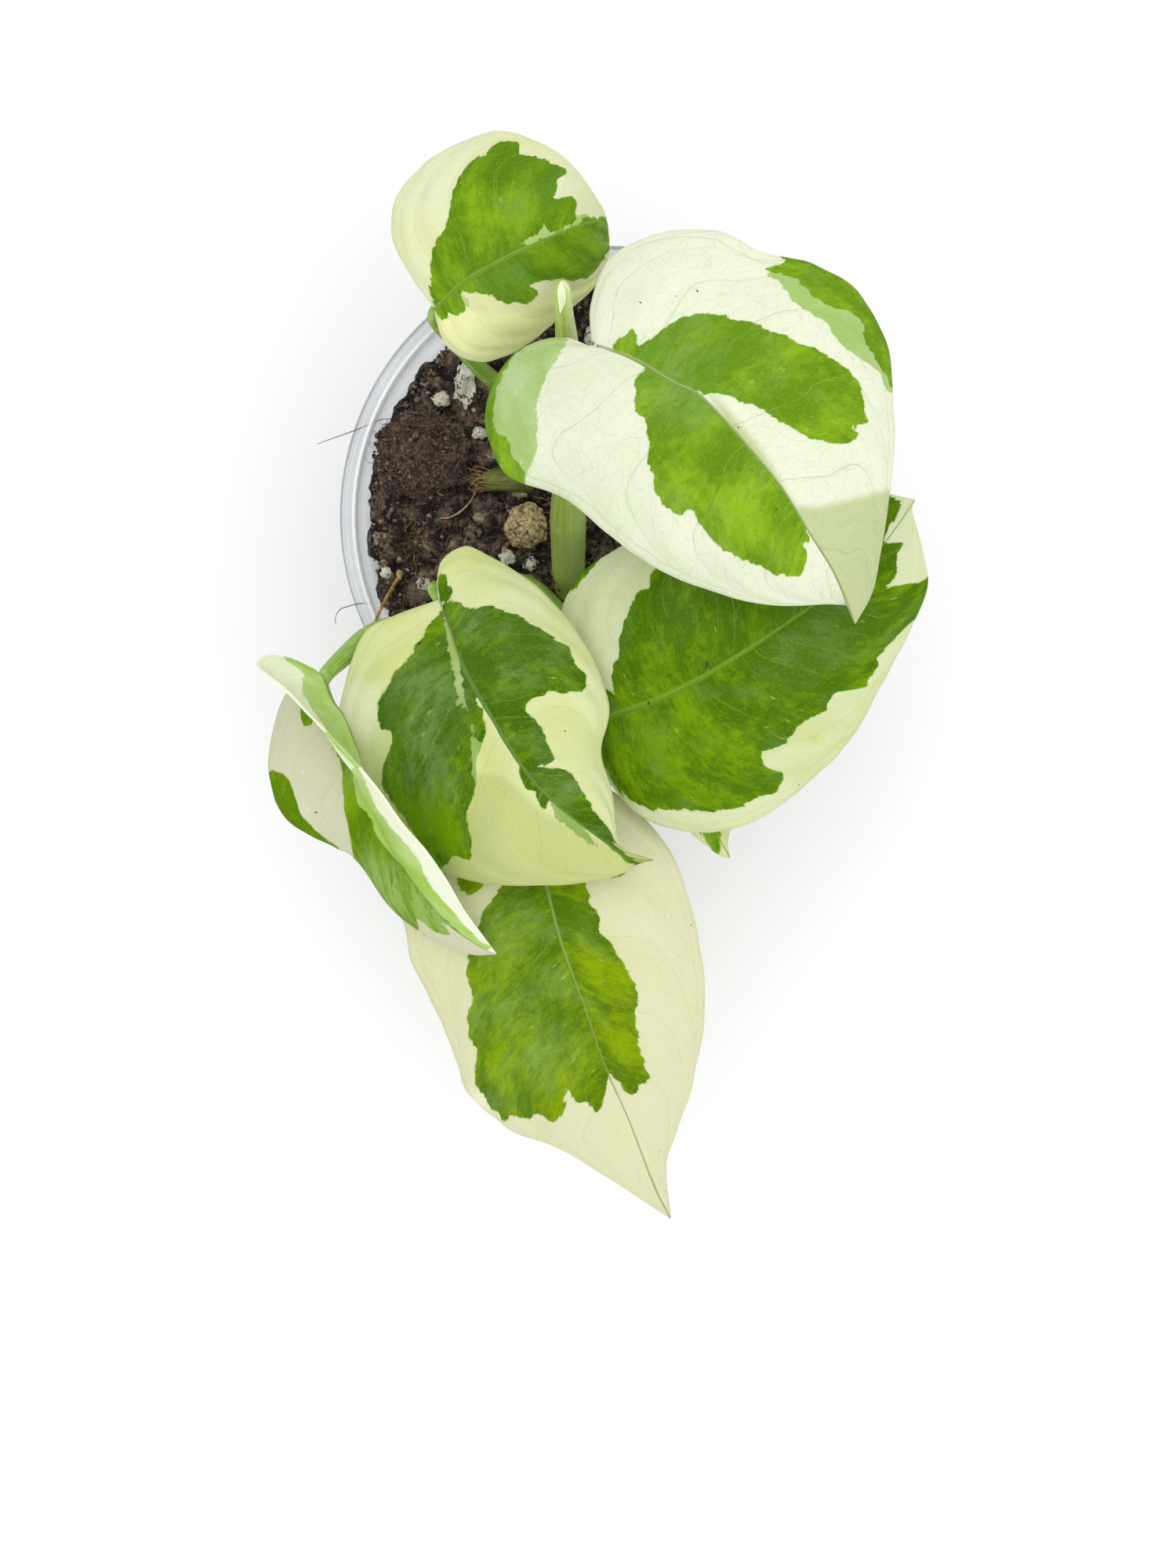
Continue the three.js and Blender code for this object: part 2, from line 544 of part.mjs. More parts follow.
addPiece("root_curl", fromSolid(curl(0)), ROOT);
soil = soil.subtract(curl(GAP));
addPiece("soil", fromSolid(soil), MIX);

export default plant;
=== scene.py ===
# A young variegated pothos in a clear nursery pot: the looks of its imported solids.
# Blender's metres, +Z up, with the pot's foot at the origin. The tables and the names that end
# in MM are in millimetres, and photo outlines are in pixels of the 1500 x 2000 photograph.
import math
import random

import bmesh
import bpy
import numpy as np
from mathutils import Matrix, Vector, noise


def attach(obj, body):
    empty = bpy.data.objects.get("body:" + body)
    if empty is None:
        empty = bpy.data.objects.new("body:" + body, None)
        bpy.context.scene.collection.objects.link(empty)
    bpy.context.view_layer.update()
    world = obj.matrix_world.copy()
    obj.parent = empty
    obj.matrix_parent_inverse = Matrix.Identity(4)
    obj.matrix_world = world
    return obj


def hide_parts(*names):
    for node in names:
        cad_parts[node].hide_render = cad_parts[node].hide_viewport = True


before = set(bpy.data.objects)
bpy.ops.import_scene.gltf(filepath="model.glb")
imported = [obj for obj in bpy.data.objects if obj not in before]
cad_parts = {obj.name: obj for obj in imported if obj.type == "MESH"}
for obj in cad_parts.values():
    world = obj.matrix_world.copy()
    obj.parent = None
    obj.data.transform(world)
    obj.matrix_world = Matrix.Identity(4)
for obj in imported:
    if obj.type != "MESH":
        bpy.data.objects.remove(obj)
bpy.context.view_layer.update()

MM = 0.001
FULL_TURN = 2 * math.pi

# Camera: it looks straight down on the rim, and the focal length is in photo pixels
CAMERA_MM = (-3.65, -44.7, 467.3)
FOCAL_PX = 3000
PHOTO_SIZE_PX = (1500, 2000)

# Pot, as in the solids
RIM_RADIUS_MM = 45
POT_HEIGHT_MM = 76
BASE_RADIUS_MM = 31.5
WALL_MM = 0.9
FLOOR_MM = 1.2
LIP_WIDTH_MM = 2.7
LIP_DEPTH_MM = 2.6
COLLAR_DEPTH_MM = 9
COLLAR_STEP_MM = 0.9
DRAIN_HOLES = 6
DRAIN_RADIUS_MM = 2.5
DRAIN_CIRCLE_MM = 20
POT_SIDES = 162
POT_START_STEP = 0.32
DRILL_SIDES = 24
SHARP_DEGREES = 35

# Mix, as in the solids, and the grains that the scene adds to it
MIX_LEVEL_MM = 67.5
MIX_RELIEF_MM = 1.5
MIX_RADIUS_MM = 40.5
MIX_KNOLLS = 34
KNOLL_SEED = 11
NOISE_SEED = 1795622288
BURIED_MM = 46
MIX_SIDES = 360
MIX_RINGS = 130
MIX_SIDE_ROWS = 46
CRUMBS = 480
BARK_CHIPS = 150
GRIT = 5200
MIX_FIBRES = 1200
TUFT_FIBRES = 80
TUFT_MM = (-33.6, -3.4)
PRESSED_CRUMBS = 3400
PRESSED_PERLITE = 34
PRESSED_ROOTS = 9
PEAT_GRAINS = 620
PEAT_HAIRS = 260
PERLITE_SPECKS = 40
CUTTING_FRAYS = 34
SHEATH_RAGS = 26

# Blades
VEIN_SWEEP = 1.6
BLADE_ROWS = 128
BLADE_MM = 0.6
MARGIN_MM = 0.34
KEEL_END = 0.75
KEEL_TIP_MM = 0.3
RIDGE_START = 0.03
VEIN_PAIRS = 7
RIB_STEPS = (0, 0.012, 0.025, 0.04, 0.06, 0.085, 0.12)
OUTSIDE_MM = -30.0

# What a leaf has unless its own entry says otherwise. Face is -1 where the underside shows, and
# tuck runs the stalk on under the blade. Ridge, swells and ragged scale the rib's ridge below, the
# swells between the veins and the fringe of the green. Stalk_end is the least share of its radius
# that the stalk keeps. Veins and strokes are how strongly the veins and the mottling show.
USUAL_LEAF = {
    "face": 1, "tuck": True, "ridge": 1.7, "swells": 1, "ragged": 1.0, "stalk_end": 0,
    "rib_mm": 0.3, "veins": 0.3, "strokes": 0.5,
}
# Leaves: midrib, both margins and stalk as in the solids. Bow is how far the left and the right
# half bow up, wave the height and number of the margin's waves, ripple how far it wanders, and
# the last pair before the colours the place and strength of the rib's dark line, painted shade.
# Colours are sRGB, 0 to 255; the third green is a painted sheen of reflected light, and the
# third cream is painted shading, shade painted on the cream and on leaf_a light.
LEAVES = {
    "leaf_a": {
        "mid": [(-27.5, 30, 98), (-23, 33.5, 101), (-18, 36, 103), (-12.5, 38.5, 104),
                (-7.5, 41, 102.5), (-3, 43.5, 98), (-0.5, 44.5, 92)],
        "left": [(-28.5, 31.5, 97), (-33.5, 38.5, 98.5), (-34.5, 43, 99), (-33, 48, 99.5),
                 (-26, 54.5, 100), (-17, 57, 99.5), (-8, 54, 98), (-2, 47.5, 94.5), (-0.5, 44.5, 92)],
        "right": [(-27.5, 28.5, 97), (-25.5, 24.5, 94.5), (-20, 22.5, 93), (-13, 25.5, 93),
                  (-6, 31.5, 92.5), (-2.5, 35.5, 91.5), (-0.5, 40, 90.5), (-0.5, 44.5, 92)],
        "stalk": [(-16.5, 23, BURIED_MM), (-17, 21.5, 66), (-18.5, 22.3, 72), (-21.2, 23.8, 78),
                  (-25, 26.8, 84.5), (-27.9, 29, 91), (-28, 30, 95.5)],
        "stalk_radius": 1.7, "bow": (2.5, 2.2), "wave": (0.3, 3), "ripple": (0.012, 0.012),
        "veins": 0.25, "painted_rib_shade": (0.3, 0.55),
        "cream": (234, 237, 198), "blush": (232, 232, 176), "painted_shading": (246, 246, 186),
        "green": (94, 138, 14), "lime": (140, 179, 26), "painted_sheen": (116, 160, 62),
        "pale": (176, 204, 112), "rib": (150, 184, 78),
    },
    "leaf_b": {
        "mid": [(-2, 21, 114), (3.5, 18.5, 116.5), (9, 15, 117.5), (14, 12, 118), (24.5, 1, 114),
                (30, -6.5, 109.5), (34.5, -12.5, 104.5), (38.5, -19.5, 96)],
        "left": [(-3, 22, 113), (-3, 28, 111.5), (0, 35, 112), (7.5, 38, 114), (15.5, 38, 115),
                 (22, 34.7, 115.5), (30.3, 33.9, 112.5), (37.3, 29.9, 110), (42, 22.5, 107.5),
                 (43.5, 13, 106), (43, 3, 104.5), (42, -8, 100.5), (41, -14.5, 97.5),
                 (38.5, -19.5, 96)],
        "right": [(-3, 20.5, 112.5), (-7, 23, 110), (-11.5, 23, 107.5), (-15.5, 21, 105),
                  (-18.5, 16.5, 103), (-19.5, 10.5, 102.5), (-16.2, 3.4, 104), (-7.2, -0.9, 106.5),
                  (-0.3, -6.5, 107), (10, -13, 105), (23, -16.5, 102), (35, -16.5, 99),
                  (38.1, -16.8, 97), (38.5, -19.5, 96)],
        "stalk": [(-6, 10.5, 93.5), (-5, 13, 99), (-4, 16, 105), (-3, 19, 110)],
        "stalk_radius": 1.6, "bow": (2.2, 2.6), "wave": (0.3, 4), "ripple": (0.01, 0.01),
        "veins": 0.75, "strokes": 0.4, "painted_rib_shade": (0.5, 0.55),
        "cream": (242, 244, 223), "blush": (236, 241, 214), "painted_shading": (198, 208, 152),
        "green": (104, 148, 20), "lime": (154, 192, 36), "painted_sheen": (136, 176, 84),
        "pale": (172, 202, 112), "rib": (164, 190, 112),
    },
    "leaf_c": {
        "mid": [(-27, -15.5, 94), (-25.5, -20, 96.5), (-23.5, -25.5, 99), (-20, -32, 101),
                (-13.5, -42.5, 101), (-9.5, -47, 99.5), (-5.5, -50.5, 97), (-1.5, -53.5, 93.5),
                (2.5, -56.5, 90), (7, -57, 88)],
        "left": [(-27, -14.5, 93.5), (-27, -9.5, 92.5), (-24, -7, 92), (-21, -7.5, 92),
                 (-12, -13.5, 93.5), (-4.5, -22, 95), (-0.5, -32.5, 94.5), (-1.5, -40, 93.5),
                 (0, -46, 92.5), (1.5, -54.5, 90), (7, -57, 88)],
        "right": [(-28, -16, 93), (-35.5, -18.5, 92.5), (-40, -22, 92), (-43.5, -32, 88.5),
                  (-43, -39, 86), (-38, -49, 84.5), (-29.5, -57.5, 85.5), (-21.5, -60.5, 87.5),
                  (-10, -61, 89), (0.5, -59.5, 89), (4.5, -57.5, 88.5), (7, -57, 88)],
        "stalk": [(-24, -13.5, BURIED_MM), (-23.5, -14.5, 64), (-25, -13.5, 71), (-27.5, -12.5, 82),
                  (-28.5, -13.5, 90)],
        "stalk_radius": 1.5, "bow": (2.2, 2.4), "wave": (0.3, 4), "ripple": (0.01, 0.015),
        "veins": 0.35, "strokes": 0.6, "painted_rib_shade": (0.0, 0.2),
        "cream": (226, 232, 176), "blush": (218, 224, 150), "painted_shading": (202, 209, 134),
        "green": (70, 108, 2), "lime": (122, 162, 2), "painted_sheen": (122, 156, 84),
        "pale": (146, 178, 88), "rib": (116, 146, 76),
    },
    "leaf_d": {
        "mid": [(-1, -34, 87), (6.5, -31.5, 90), (12, -29, 91.5), (17.5, -26, 92.5),
                (27.5, -19.5, 93), (38.5, -11.5, 91), (43.5, -6.5, 89), (49.5, 1.5, 85)],
        "left": [(-2, -33.5, 86.5), (-6, -27, 87), (-8, -18, 87), (-5, -11.5, 87.5),
                 (1.5, -6.5, 88.5), (12.5, -0.5, 90.5), (27.5, 2.5, 91), (41, 2.5, 88),
                 (49.5, 1.5, 85)],
        "right": [(-1, -35.5, 86), (-1, -42, 83.5), (4.5, -49.5, 82.5), (14, -52.5, 83),
                  (24.5, -50, 85), (36.3, -40.3, 86.5), (43.9, -28.7, 85.5), (51, -14.5, 84.5),
                  (51, -8, 85), (49, -0.5, 85), (49.5, 1.5, 85)],
        "stalk": [(-17.5, -8, BURIED_MM), (-16.8, -9.5, 64), (-13.4, -10.8, 68.5), (-9.5, -14.4, 73),
                  (-6.6, -18.5, 77), (-4, -26, 82.5), (-2, -31, 85.5)],
        "stalk_radius": 1.5, "bow": (2, 2.2), "wave": (0.3, 4), "ripple": (0.01, 0.012),
        "rib_mm": 0.56, "strokes": 0.7, "painted_rib_shade": (0.6, 0.3),
        "cream": (226, 232, 190), "blush": (212, 220, 156), "painted_shading": (208, 214, 160),
        "green": (78, 118, 0), "lime": (122, 162, 2), "painted_sheen": (112, 150, 74),
        "pale": (152, 188, 80), "rib": (128, 168, 48),
    },
    "leaf_e": {
        "mid": [(-46, -27.5, 93), (-44.7, -31.5, 92), (-42.3, -35.5, 91.5), (-38.7, -46, 90.5),
                (-36.5, -52, 90), (-34, -57, 89), (-27, -66.5, 86.5), (-22, -70.5, 85),
                (-18.5, -72.5, 84)],
        "left": [(-47, -28.5, 91.5), (-52, -30, 88.5), (-54.5, -36, 87), (-55, -43.5, 87),
                 (-52.5, -50.5, 86), (-44.5, -55, 85), (-41.5, -57, 85), (-34, -66.5, 84),
                 (-24, -72, 83.5), (-18.5, -72.5, 84)],
        "right": [(-47, -26.5, 94.5), (-50.5, -25, 98), (-53.5, -24.6, 100.5), (-55, -25.8, 102.5),
                  (-54, -27.2, 104), (-49.5, -30.5, 105), (-44.5, -36, 105.5), (-38, -43.5, 104),
                  (-29.5, -54.5, 99), (-23.5, -65, 90.5), (-18.5, -72.5, 84)],
        "stalk": [(-21, -21, BURIED_MM), (-22, -19.5, 64), (-25, -19, 71), (-30, -18.6, 77),
                  (-35.5, -18.6, 81), (-39.6, -20.5, 84.3), (-42.8, -23.8, 87.2),
                  (-45.2, -26.6, 90.3)],
        "stalk_radius": 1.9, "stalk_end": 0.85, "tuck": False, "bow": (-1, -1.3), "wave": (0.2, 3),
        "face": -1, "ridge": 0.2, "swells": 0.35, "ragged": 0.45, "ripple": (0.01, 0.01),
        "painted_rib_shade": (0.5, 0.25),
        "cream": (253, 254, 238), "blush": (250, 252, 228), "painted_shading": (210, 208, 177),
        "green": (94, 132, 0), "lime": (136, 170, 14), "painted_sheen": (164, 196, 106),
        "pale": (176, 211, 92), "rib": (150, 186, 96),
    },
    "leaf_f": {
        "mid": [(-13, -48.5, 81), (-12, -54.5, 82), (-9.5, -65.5, 82), (-7.5, -72.5, 80.5),
                (-4.5, -81, 77), (-1, -91.5, 71.5), (3.5, -102.5, 65), (8, -115, 57),
                (11, -121.5, 52)],
        "left": [(-12, -47.5, 80.5), (-7.5, -44, 79.5), (0.5, -46, 78.5), (8.5, -54, 77.5),
                 (12.5, -62, 76.5), (15.5, -74, 73.5), (15.5, -89.5, 67.5), (12, -103.5, 61),
                 (10, -111, 57), (11, -121.5, 52)],
        "right": [(-14, -47.5, 80.5), (-20, -46.5, 79.5), (-29, -51.5, 78.5), (-34.5, -62, 77.5),
                  (-33.5, -71.5, 76), (-28.5, -84, 72), (-24, -96.5, 67), (-17, -104, 63.5),
                  (-8, -108, 60.5), (1, -114, 57.5), (11, -121.5, 52)],
        "stalk": [(-10.5, -26, BURIED_MM), (-10.5, -27.5, 64), (-11.5, -32, 71.5), (-12, -38, 77),
                  (-12.5, -44, 79.5)],
        "stalk_radius": 1.4, "bow": (2.2, 2.4), "wave": (0.4, 4), "ripple": (0.008, 0.028),
        "painted_rib_shade": (0.7, 0.5),
        "cream": (229, 227, 190), "blush": (224, 224, 178), "painted_shading": (214, 212, 168),
        "green": (84, 120, 0), "lime": (144, 174, 0), "painted_sheen": (138, 172, 84),
        "pale": (152, 188, 66), "rib": (146, 178, 92),
    },
    "leaf_g": {
        "mid": [(11.5, -32.5, 76), (12.5, -37, 79), (13.5, -42, 81), (15.5, -48, 80.5),
                (17.5, -52.5, 78.5), (20, -57, 75.5)],
        "left": [(12.5, -32, 76), (18, -31.5, 77), (22, -39, 79), (21, -48, 79), (19.5, -54, 77),
                 (20, -57, 75.5)],
        "right": [(11, -31.5, 76), (6.5, -34, 77), (6, -42, 79.5), (11.5, -50.5, 78.5),
                  (17.5, -56, 76), (20, -57, 75.5)],
        "stalk": [(5, -17.5, BURIED_MM), (5, -19, 64), (6.5, -23, 69), (9, -27.5, 73)],
        "stalk_radius": 1.2, "bow": (1.2, 1.2), "wave": (0.2, 3), "ripple": (0.01, 0.01),
        "painted_rib_shade": (0.0, 0.3),
        "cream": (232, 234, 184), "blush": (220, 226, 160), "painted_shading": (210, 212, 150),
        "green": (90, 138, 4), "lime": (136, 178, 12), "painted_sheen": (126, 160, 70),
        "pale": (158, 194, 80), "rib": (140, 178, 70),
    },
}
LEAVES = {name: {**USUAL_LEAF, **own} for name, own in LEAVES.items()}

# Markings: tone, half of the blade (both, left or right of the rib) and outline in photo
# pixels. An outline runs past a margin or under another leaf where the tone does. Beside green,
# pale and light, the fourth tone is painted shading: shade painted on the cream, on leaf_a light.
MARKS = {
    "leaf_a": [
        ("green", "both", [
            (551, 335), (558, 304), (571, 284), (577, 246), (596, 214), (618, 199), (627, 189),
            (641, 181), (659, 182), (662, 197), (694, 203), (723, 222), (710, 230), (712, 241),
            (705, 254), (722, 251), (733, 258), (731, 276), (752, 279), (766, 277), (780, 284),
            (778, 308), (765, 336), (744, 356), (714, 354), (691, 358), (676, 364), (684, 372),
            (677, 384), (650, 386), (634, 383), (625, 375), (600, 373), (589, 376), (595, 390),
            (585, 402), (576, 400), (567, 409), (558, 398), (550, 366)]),
        ("pale", "both", [
            (584, 374), (596, 378), (598, 390), (586, 396)]),
        ("light", "both", [
            (662, 311), (668, 306), (683, 301), (690, 290), (694, 280), (697, 293), (705, 297),
            (735, 281), (742, 283), (722, 292), (694, 304), (668, 314)]),
        ("painted_shading", "both", [
            (596, 395), (640, 400), (700, 380), (770, 350), (760, 400), (700, 450), (640, 470),
            (590, 450), (560, 410)]),
    ],
    "leaf_b": [
        ("green", "left", [
            (783, 444), (802, 422), (813, 426), (813, 442), (836, 428), (872, 405), (911, 402),
            (954, 412), (1004, 431), (1051, 453), (1083, 474), (1097, 496), (1101, 524), (1106, 538),
            (1086, 543), (1094, 556), (1076, 567), (1054, 564), (1033, 557), (1004, 544), (970, 521),
            (933, 508), (894, 500), (850, 500), (800, 465)]),
        ("green", "right", [
            (820, 474), (812, 489), (813, 528), (826, 542), (829, 596), (844, 639), (865, 655),
            (883, 651), (897, 674), (926, 703), (961, 717), (997, 733), (1022, 730), (1027, 706),
            (1021, 689), (1032, 686), (1000, 620), (940, 530), (880, 480), (840, 462)]),
        ("green", "left", [
            (975, 344), (1000, 336), (996, 322), (1040, 320), (1090, 350), (1130, 410), (1150, 490),
            (1136, 495), (1122, 467), (1110, 448), (1101, 435), (1101, 414), (1083, 397),
            (1061, 392), (1036, 378), (1015, 356)]),
        ("pale", "left", [
            (975, 344), (1001, 368), (1011, 385), (1036, 400), (1054, 416), (1072, 440), (1097, 458),
            (1119, 476), (1135, 500), (1150, 480), (1120, 410), (1060, 360)]),
        ("pale", "right", [
            (723, 436), (702, 473), (692, 500), (685, 535), (688, 556), (681, 581), (671, 607),
            (665, 625), (630, 620), (600, 560), (600, 480), (650, 420), (710, 418)]),
        ("painted_shading", "left", [
            (1000, 652), (1045, 646), (1090, 636), (1150, 628), (1160, 700), (1120, 800),
            (1080, 800), (1060, 730)]),
        ("painted_shading", "left", [
            (905, 505), (930, 525), (975, 580), (1010, 640), (1030, 660), (1000, 640), (950, 575)]),
        ("green", "right", [
            (716, 426), (690, 434), (664, 447), (646, 470), (634, 500), (630, 530), (634, 552),
            (650, 560), (654, 584), (668, 601), (666, 622), (630, 620), (600, 560), (600, 480),
            (650, 420), (700, 415)]),
    ],
    "leaf_c": [
        ("green", "right", [
            (566, 779), (551, 795), (535, 820), (516, 843), (499, 868), (484, 894), (482, 919),
            (489, 933), (499, 932), (501, 945), (495, 964), (491, 983), (492, 1008), (510, 1034),
            (529, 1063), (545, 1088), (561, 1109), (570, 1098), (581, 1091), (592, 1093),
            (603, 1096), (601, 1079), (597, 1043), (605, 1015), (604, 983), (602, 957), (599, 929),
            (590, 905), (583, 900), (581, 871), (576, 846), (571, 817), (567, 792)]),
        ("green", "right", [
            (586, 850), (592, 903), (599, 925), (606, 938), (614, 944), (618, 932), (616, 910),
            (609, 890), (604, 868), (594, 840)]),
        ("green", "left", [
            (562, 776), (583, 769), (596, 776), (607, 777), (621, 772), (641, 779), (666, 790),
            (692, 804), (714, 820), (727, 830), (733, 846), (745, 862), (744, 881), (730, 881),
            (717, 886), (701, 881), (691, 887), (679, 890), (669, 900), (673, 910), (682, 919),
            (692, 932), (700, 954), (707, 968), (695, 973), (682, 976), (695, 979), (717, 981),
            (730, 989), (742, 1011), (758, 1034), (774, 1059), (784, 1078), (800, 1095), (780, 1100),
            (700, 1060), (600, 930), (560, 820)]),
        ("green", "right", [
            (797, 1097), (787, 1088), (768, 1069), (749, 1050), (730, 1034), (714, 1024),
            (701, 1020), (695, 1031), (688, 1026), (682, 1008), (671, 1002), (664, 986), (660, 973),
            (648, 952), (640, 935), (680, 950), (760, 1040), (800, 1080)]),
        ("pale", "right", [
            (700, 1018), (717, 1027), (736, 1046), (752, 1066), (762, 1079), (746, 1073),
            (727, 1055), (711, 1044)]),
        ("light", "right", [
            (566, 786), (574, 812), (581, 842), (585, 872), (588, 900), (598, 915), (603, 935),
            (603, 960), (608, 958), (606, 930), (598, 905), (593, 880), (588, 850), (579, 815)]),
        ("pale", "right", [
            (598, 900), (608, 930), (610, 965), (607, 1000), (600, 1040), (594, 1000), (594, 930)]),
        ("painted_shading", "both", [
            (590, 1000), (640, 990), (700, 1040), (790, 1080), (860, 1110), (800, 1180), (560, 1180),
            (540, 1120), (590, 1080)]),
        ("green", "both", [
            (560, 736), (569, 734), (571, 744), (577, 755), (574, 765), (565, 768), (561, 756)]),
        ("green", "both", [
            (797, 1092), (808, 1097), (824, 1099), (842, 1096), (842, 1104), (815, 1103), (797, 1099)]),
    ],
    "leaf_d": [
        ("green", "both", [
            (835, 726), (827, 750), (812, 756), (804, 779), (795, 798), (789, 836), (782, 846),
            (780, 868), (785, 888), (772, 878), (764, 900), (764, 960), (771, 975), (781, 992),
            (793, 1011), (812, 1024), (838, 1032), (863, 1032), (892, 1033), (911, 1034),
            (943, 1029), (962, 1018), (985, 1010), (996, 999), (996, 983), (981, 978), (972, 970),
            (974, 959), (988, 952), (1002, 946), (1012, 932), (1026, 919), (1051, 906), (1061, 887),
            (1076, 881), (1103, 874), (1106, 864), (1119, 852), (1117, 836), (1126, 830),
            (1144, 810), (1163, 791), (1190, 768), (1195, 730), (1173, 742), (1147, 745),
            (1128, 747), (1144, 731), (1141, 715), (1150, 696), (1141, 692), (1125, 692),
            (1131, 676), (1141, 660), (1147, 641), (1120, 630), (1040, 630), (900, 670)]),
        ("green", "left", [
            (733, 752), (745, 737), (764, 714), (762, 700), (730, 720), (722, 755)]),
    ],
    "leaf_e": [
        ("green", "left", [
            (437, 945), (437, 985), (440, 1030), (446, 1065), (452, 1098), (440, 1120), (470, 1160),
            (515, 1190), (534, 1184), (532, 1170), (553, 1186), (574, 1191), (562, 1174),
            (590, 1190), (618, 1209), (640, 1200), (560, 1090), (500, 980)]),
        ("green", "left", [
            (344, 985), (352, 983), (361, 987), (372, 1000), (378, 1020), (386, 1040), (400, 1056),
            (418, 1070), (434, 1082), (420, 1092), (370, 1070), (335, 1010)]),
        ("green", "left", [
            (384, 896), (392, 901), (400, 918), (396, 925), (387, 922)]),
        ("green", "left", [
            (424, 952), (434, 958), (440, 966), (430, 964)]),
        ("pale", "right", [
            (362, 825), (364, 840), (372, 846), (386, 858), (384, 872), (388, 892), (404, 916),
            (428, 950), (446, 968), (462, 986), (472, 1008), (482, 1030), (492, 1044), (508, 1064),
            (524, 1082), (538, 1102), (546, 1122), (562, 1142), (584, 1168), (610, 1196),
            (624, 1210), (560, 1215), (430, 1080), (425, 990), (500, 960), (500, 820), (430, 800)]),
        ("light", "left", [
            (443, 972), (450, 978), (452, 1000), (455, 1020), (468, 1036), (476, 1048), (482, 1066),
            (498, 1086), (510, 1100), (520, 1090), (500, 1060), (490, 1020), (476, 990), (460, 966)]),
        ("green", "right", [
            (500, 1090), (515, 1104), (540, 1142), (570, 1172), (600, 1198), (616, 1208),
            (600, 1206), (560, 1176), (520, 1130), (496, 1100)]),
        ("painted_shading", "left", [
            (300, 800), (700, 800), (700, 1260), (300, 1260)]),
    ],
    "leaf_f": [
        ("green", "both", [
            (640, 1129), (621, 1156), (611, 1185), (599, 1217), (596, 1246), (603, 1268),
            (597, 1297), (602, 1330), (610, 1336), (606, 1367), (610, 1386), (624, 1408),
            (647, 1430), (651, 1421), (672, 1426), (685, 1419), (707, 1429), (718, 1415),
            (721, 1387), (728, 1390), (735, 1405), (749, 1404), (761, 1418), (771, 1399),
            (776, 1367), (787, 1377), (800, 1392), (811, 1394), (816, 1382), (827, 1378),
            (822, 1357), (812, 1322), (809, 1291), (813, 1268), (797, 1233), (781, 1204),
            (765, 1186), (767, 1175), (752, 1150), (747, 1128), (735, 1095), (690, 1075), (655, 1090)]),
        ("green", "both", [
            (584, 1118), (600, 1114), (616, 1121), (614, 1133), (600, 1140), (588, 1135)]),
        ("green", "both", [
            (776, 1108), (792, 1106), (797, 1113), (786, 1120), (776, 1117)]),
    ],
    "leaf_g": [
        ("green", "both", [
            (870, 900), (905, 900), (930, 960), (926, 1040), (919, 1056), (917, 1088), (905, 1078),
            (892, 1058), (870, 1030), (850, 960)]),
    ],
}

# Soft areas: photo pixel, radius in pixels and strength, above 0 limier green and yellower
# cream, below 0 darker green and whiter cream, the whiter cream being painted light
GLOWS_AND_PAINTED_LIGHT = {
    "leaf_a": [
        (648, 266, 30, 0.8), (620, 290, 40, 0.5), (645, 208, 30, -0.4), (704, 232, 26, -0.3),
        (655, 345, 40, -0.6), (566, 362, 18, 0.4), (748, 318, 34, 0.5), (752, 262, 14, 0.35),
        (620, 400, 24, 0.25)],
    "leaf_b": [
        (912, 440, 44, -0.2), (870, 478, 42, -0.5), (1058, 505, 40, 0.4), (850, 530, 34, 0.1),
        (907, 592, 24, -0.6), (930, 640, 40, 0.9), (985, 690, 34, 0.6), (1000, 350, 24, 0.3),
        (860, 630, 26, 0.3), (650, 585, 26, 0.5), (1080, 752, 14, 0.6)],
    "leaf_c": [
        # The first spot is painted light: it whitens the cream that lies in leaf_e's shade
        (448, 905, 42, -1.1), (545, 900, 60, -0.5), (535, 1040, 36, 1.2), (575, 1065, 30, 1.2),
        (660, 820, 60, -0.3), (720, 850, 24, 0.2), (600, 850, 24, -0.8), (690, 950, 26, -0.3),
        (740, 1030, 30, 0.1), (500, 797, 20, 0.5), (470, 850, 18, 0.25)],
    "leaf_d": [
        (850, 850, 50, 0.0), (840, 950, 50, 0.5), (950, 940, 34, 0.3), (905, 1000, 60, 0.1),
        (1000, 860, 46, -0.4), (1050, 800, 60, -0.7), (930, 760, 50, 0.2), (1120, 700, 40, -0.4),
        (1090, 860, 34, 0.3), (1040, 942, 9, 1.0), (1098, 905, 12, 0.5), (1165, 650, 12, 0.4)],
    "leaf_e": [
        (375, 1040, 34, -0.4), (460, 1010, 40, 0.2), (500, 1120, 50, 0.1), (430, 920, 40, 0.4)],
    "leaf_f": [
        (630, 1170, 34, 0.2), (655, 1235, 40, 0.3), (640, 1330, 50, 0.3), (715, 1165, 24, -0.7),
        (770, 1250, 40, 0.8), (790, 1340, 34, 0.7), (700, 1370, 44, 0.4), (615, 1400, 26, -0.7),
        (690, 1290, 24, -0.3)],
    "leaf_g": [
        (905, 1070, 20, 0.5)],
}
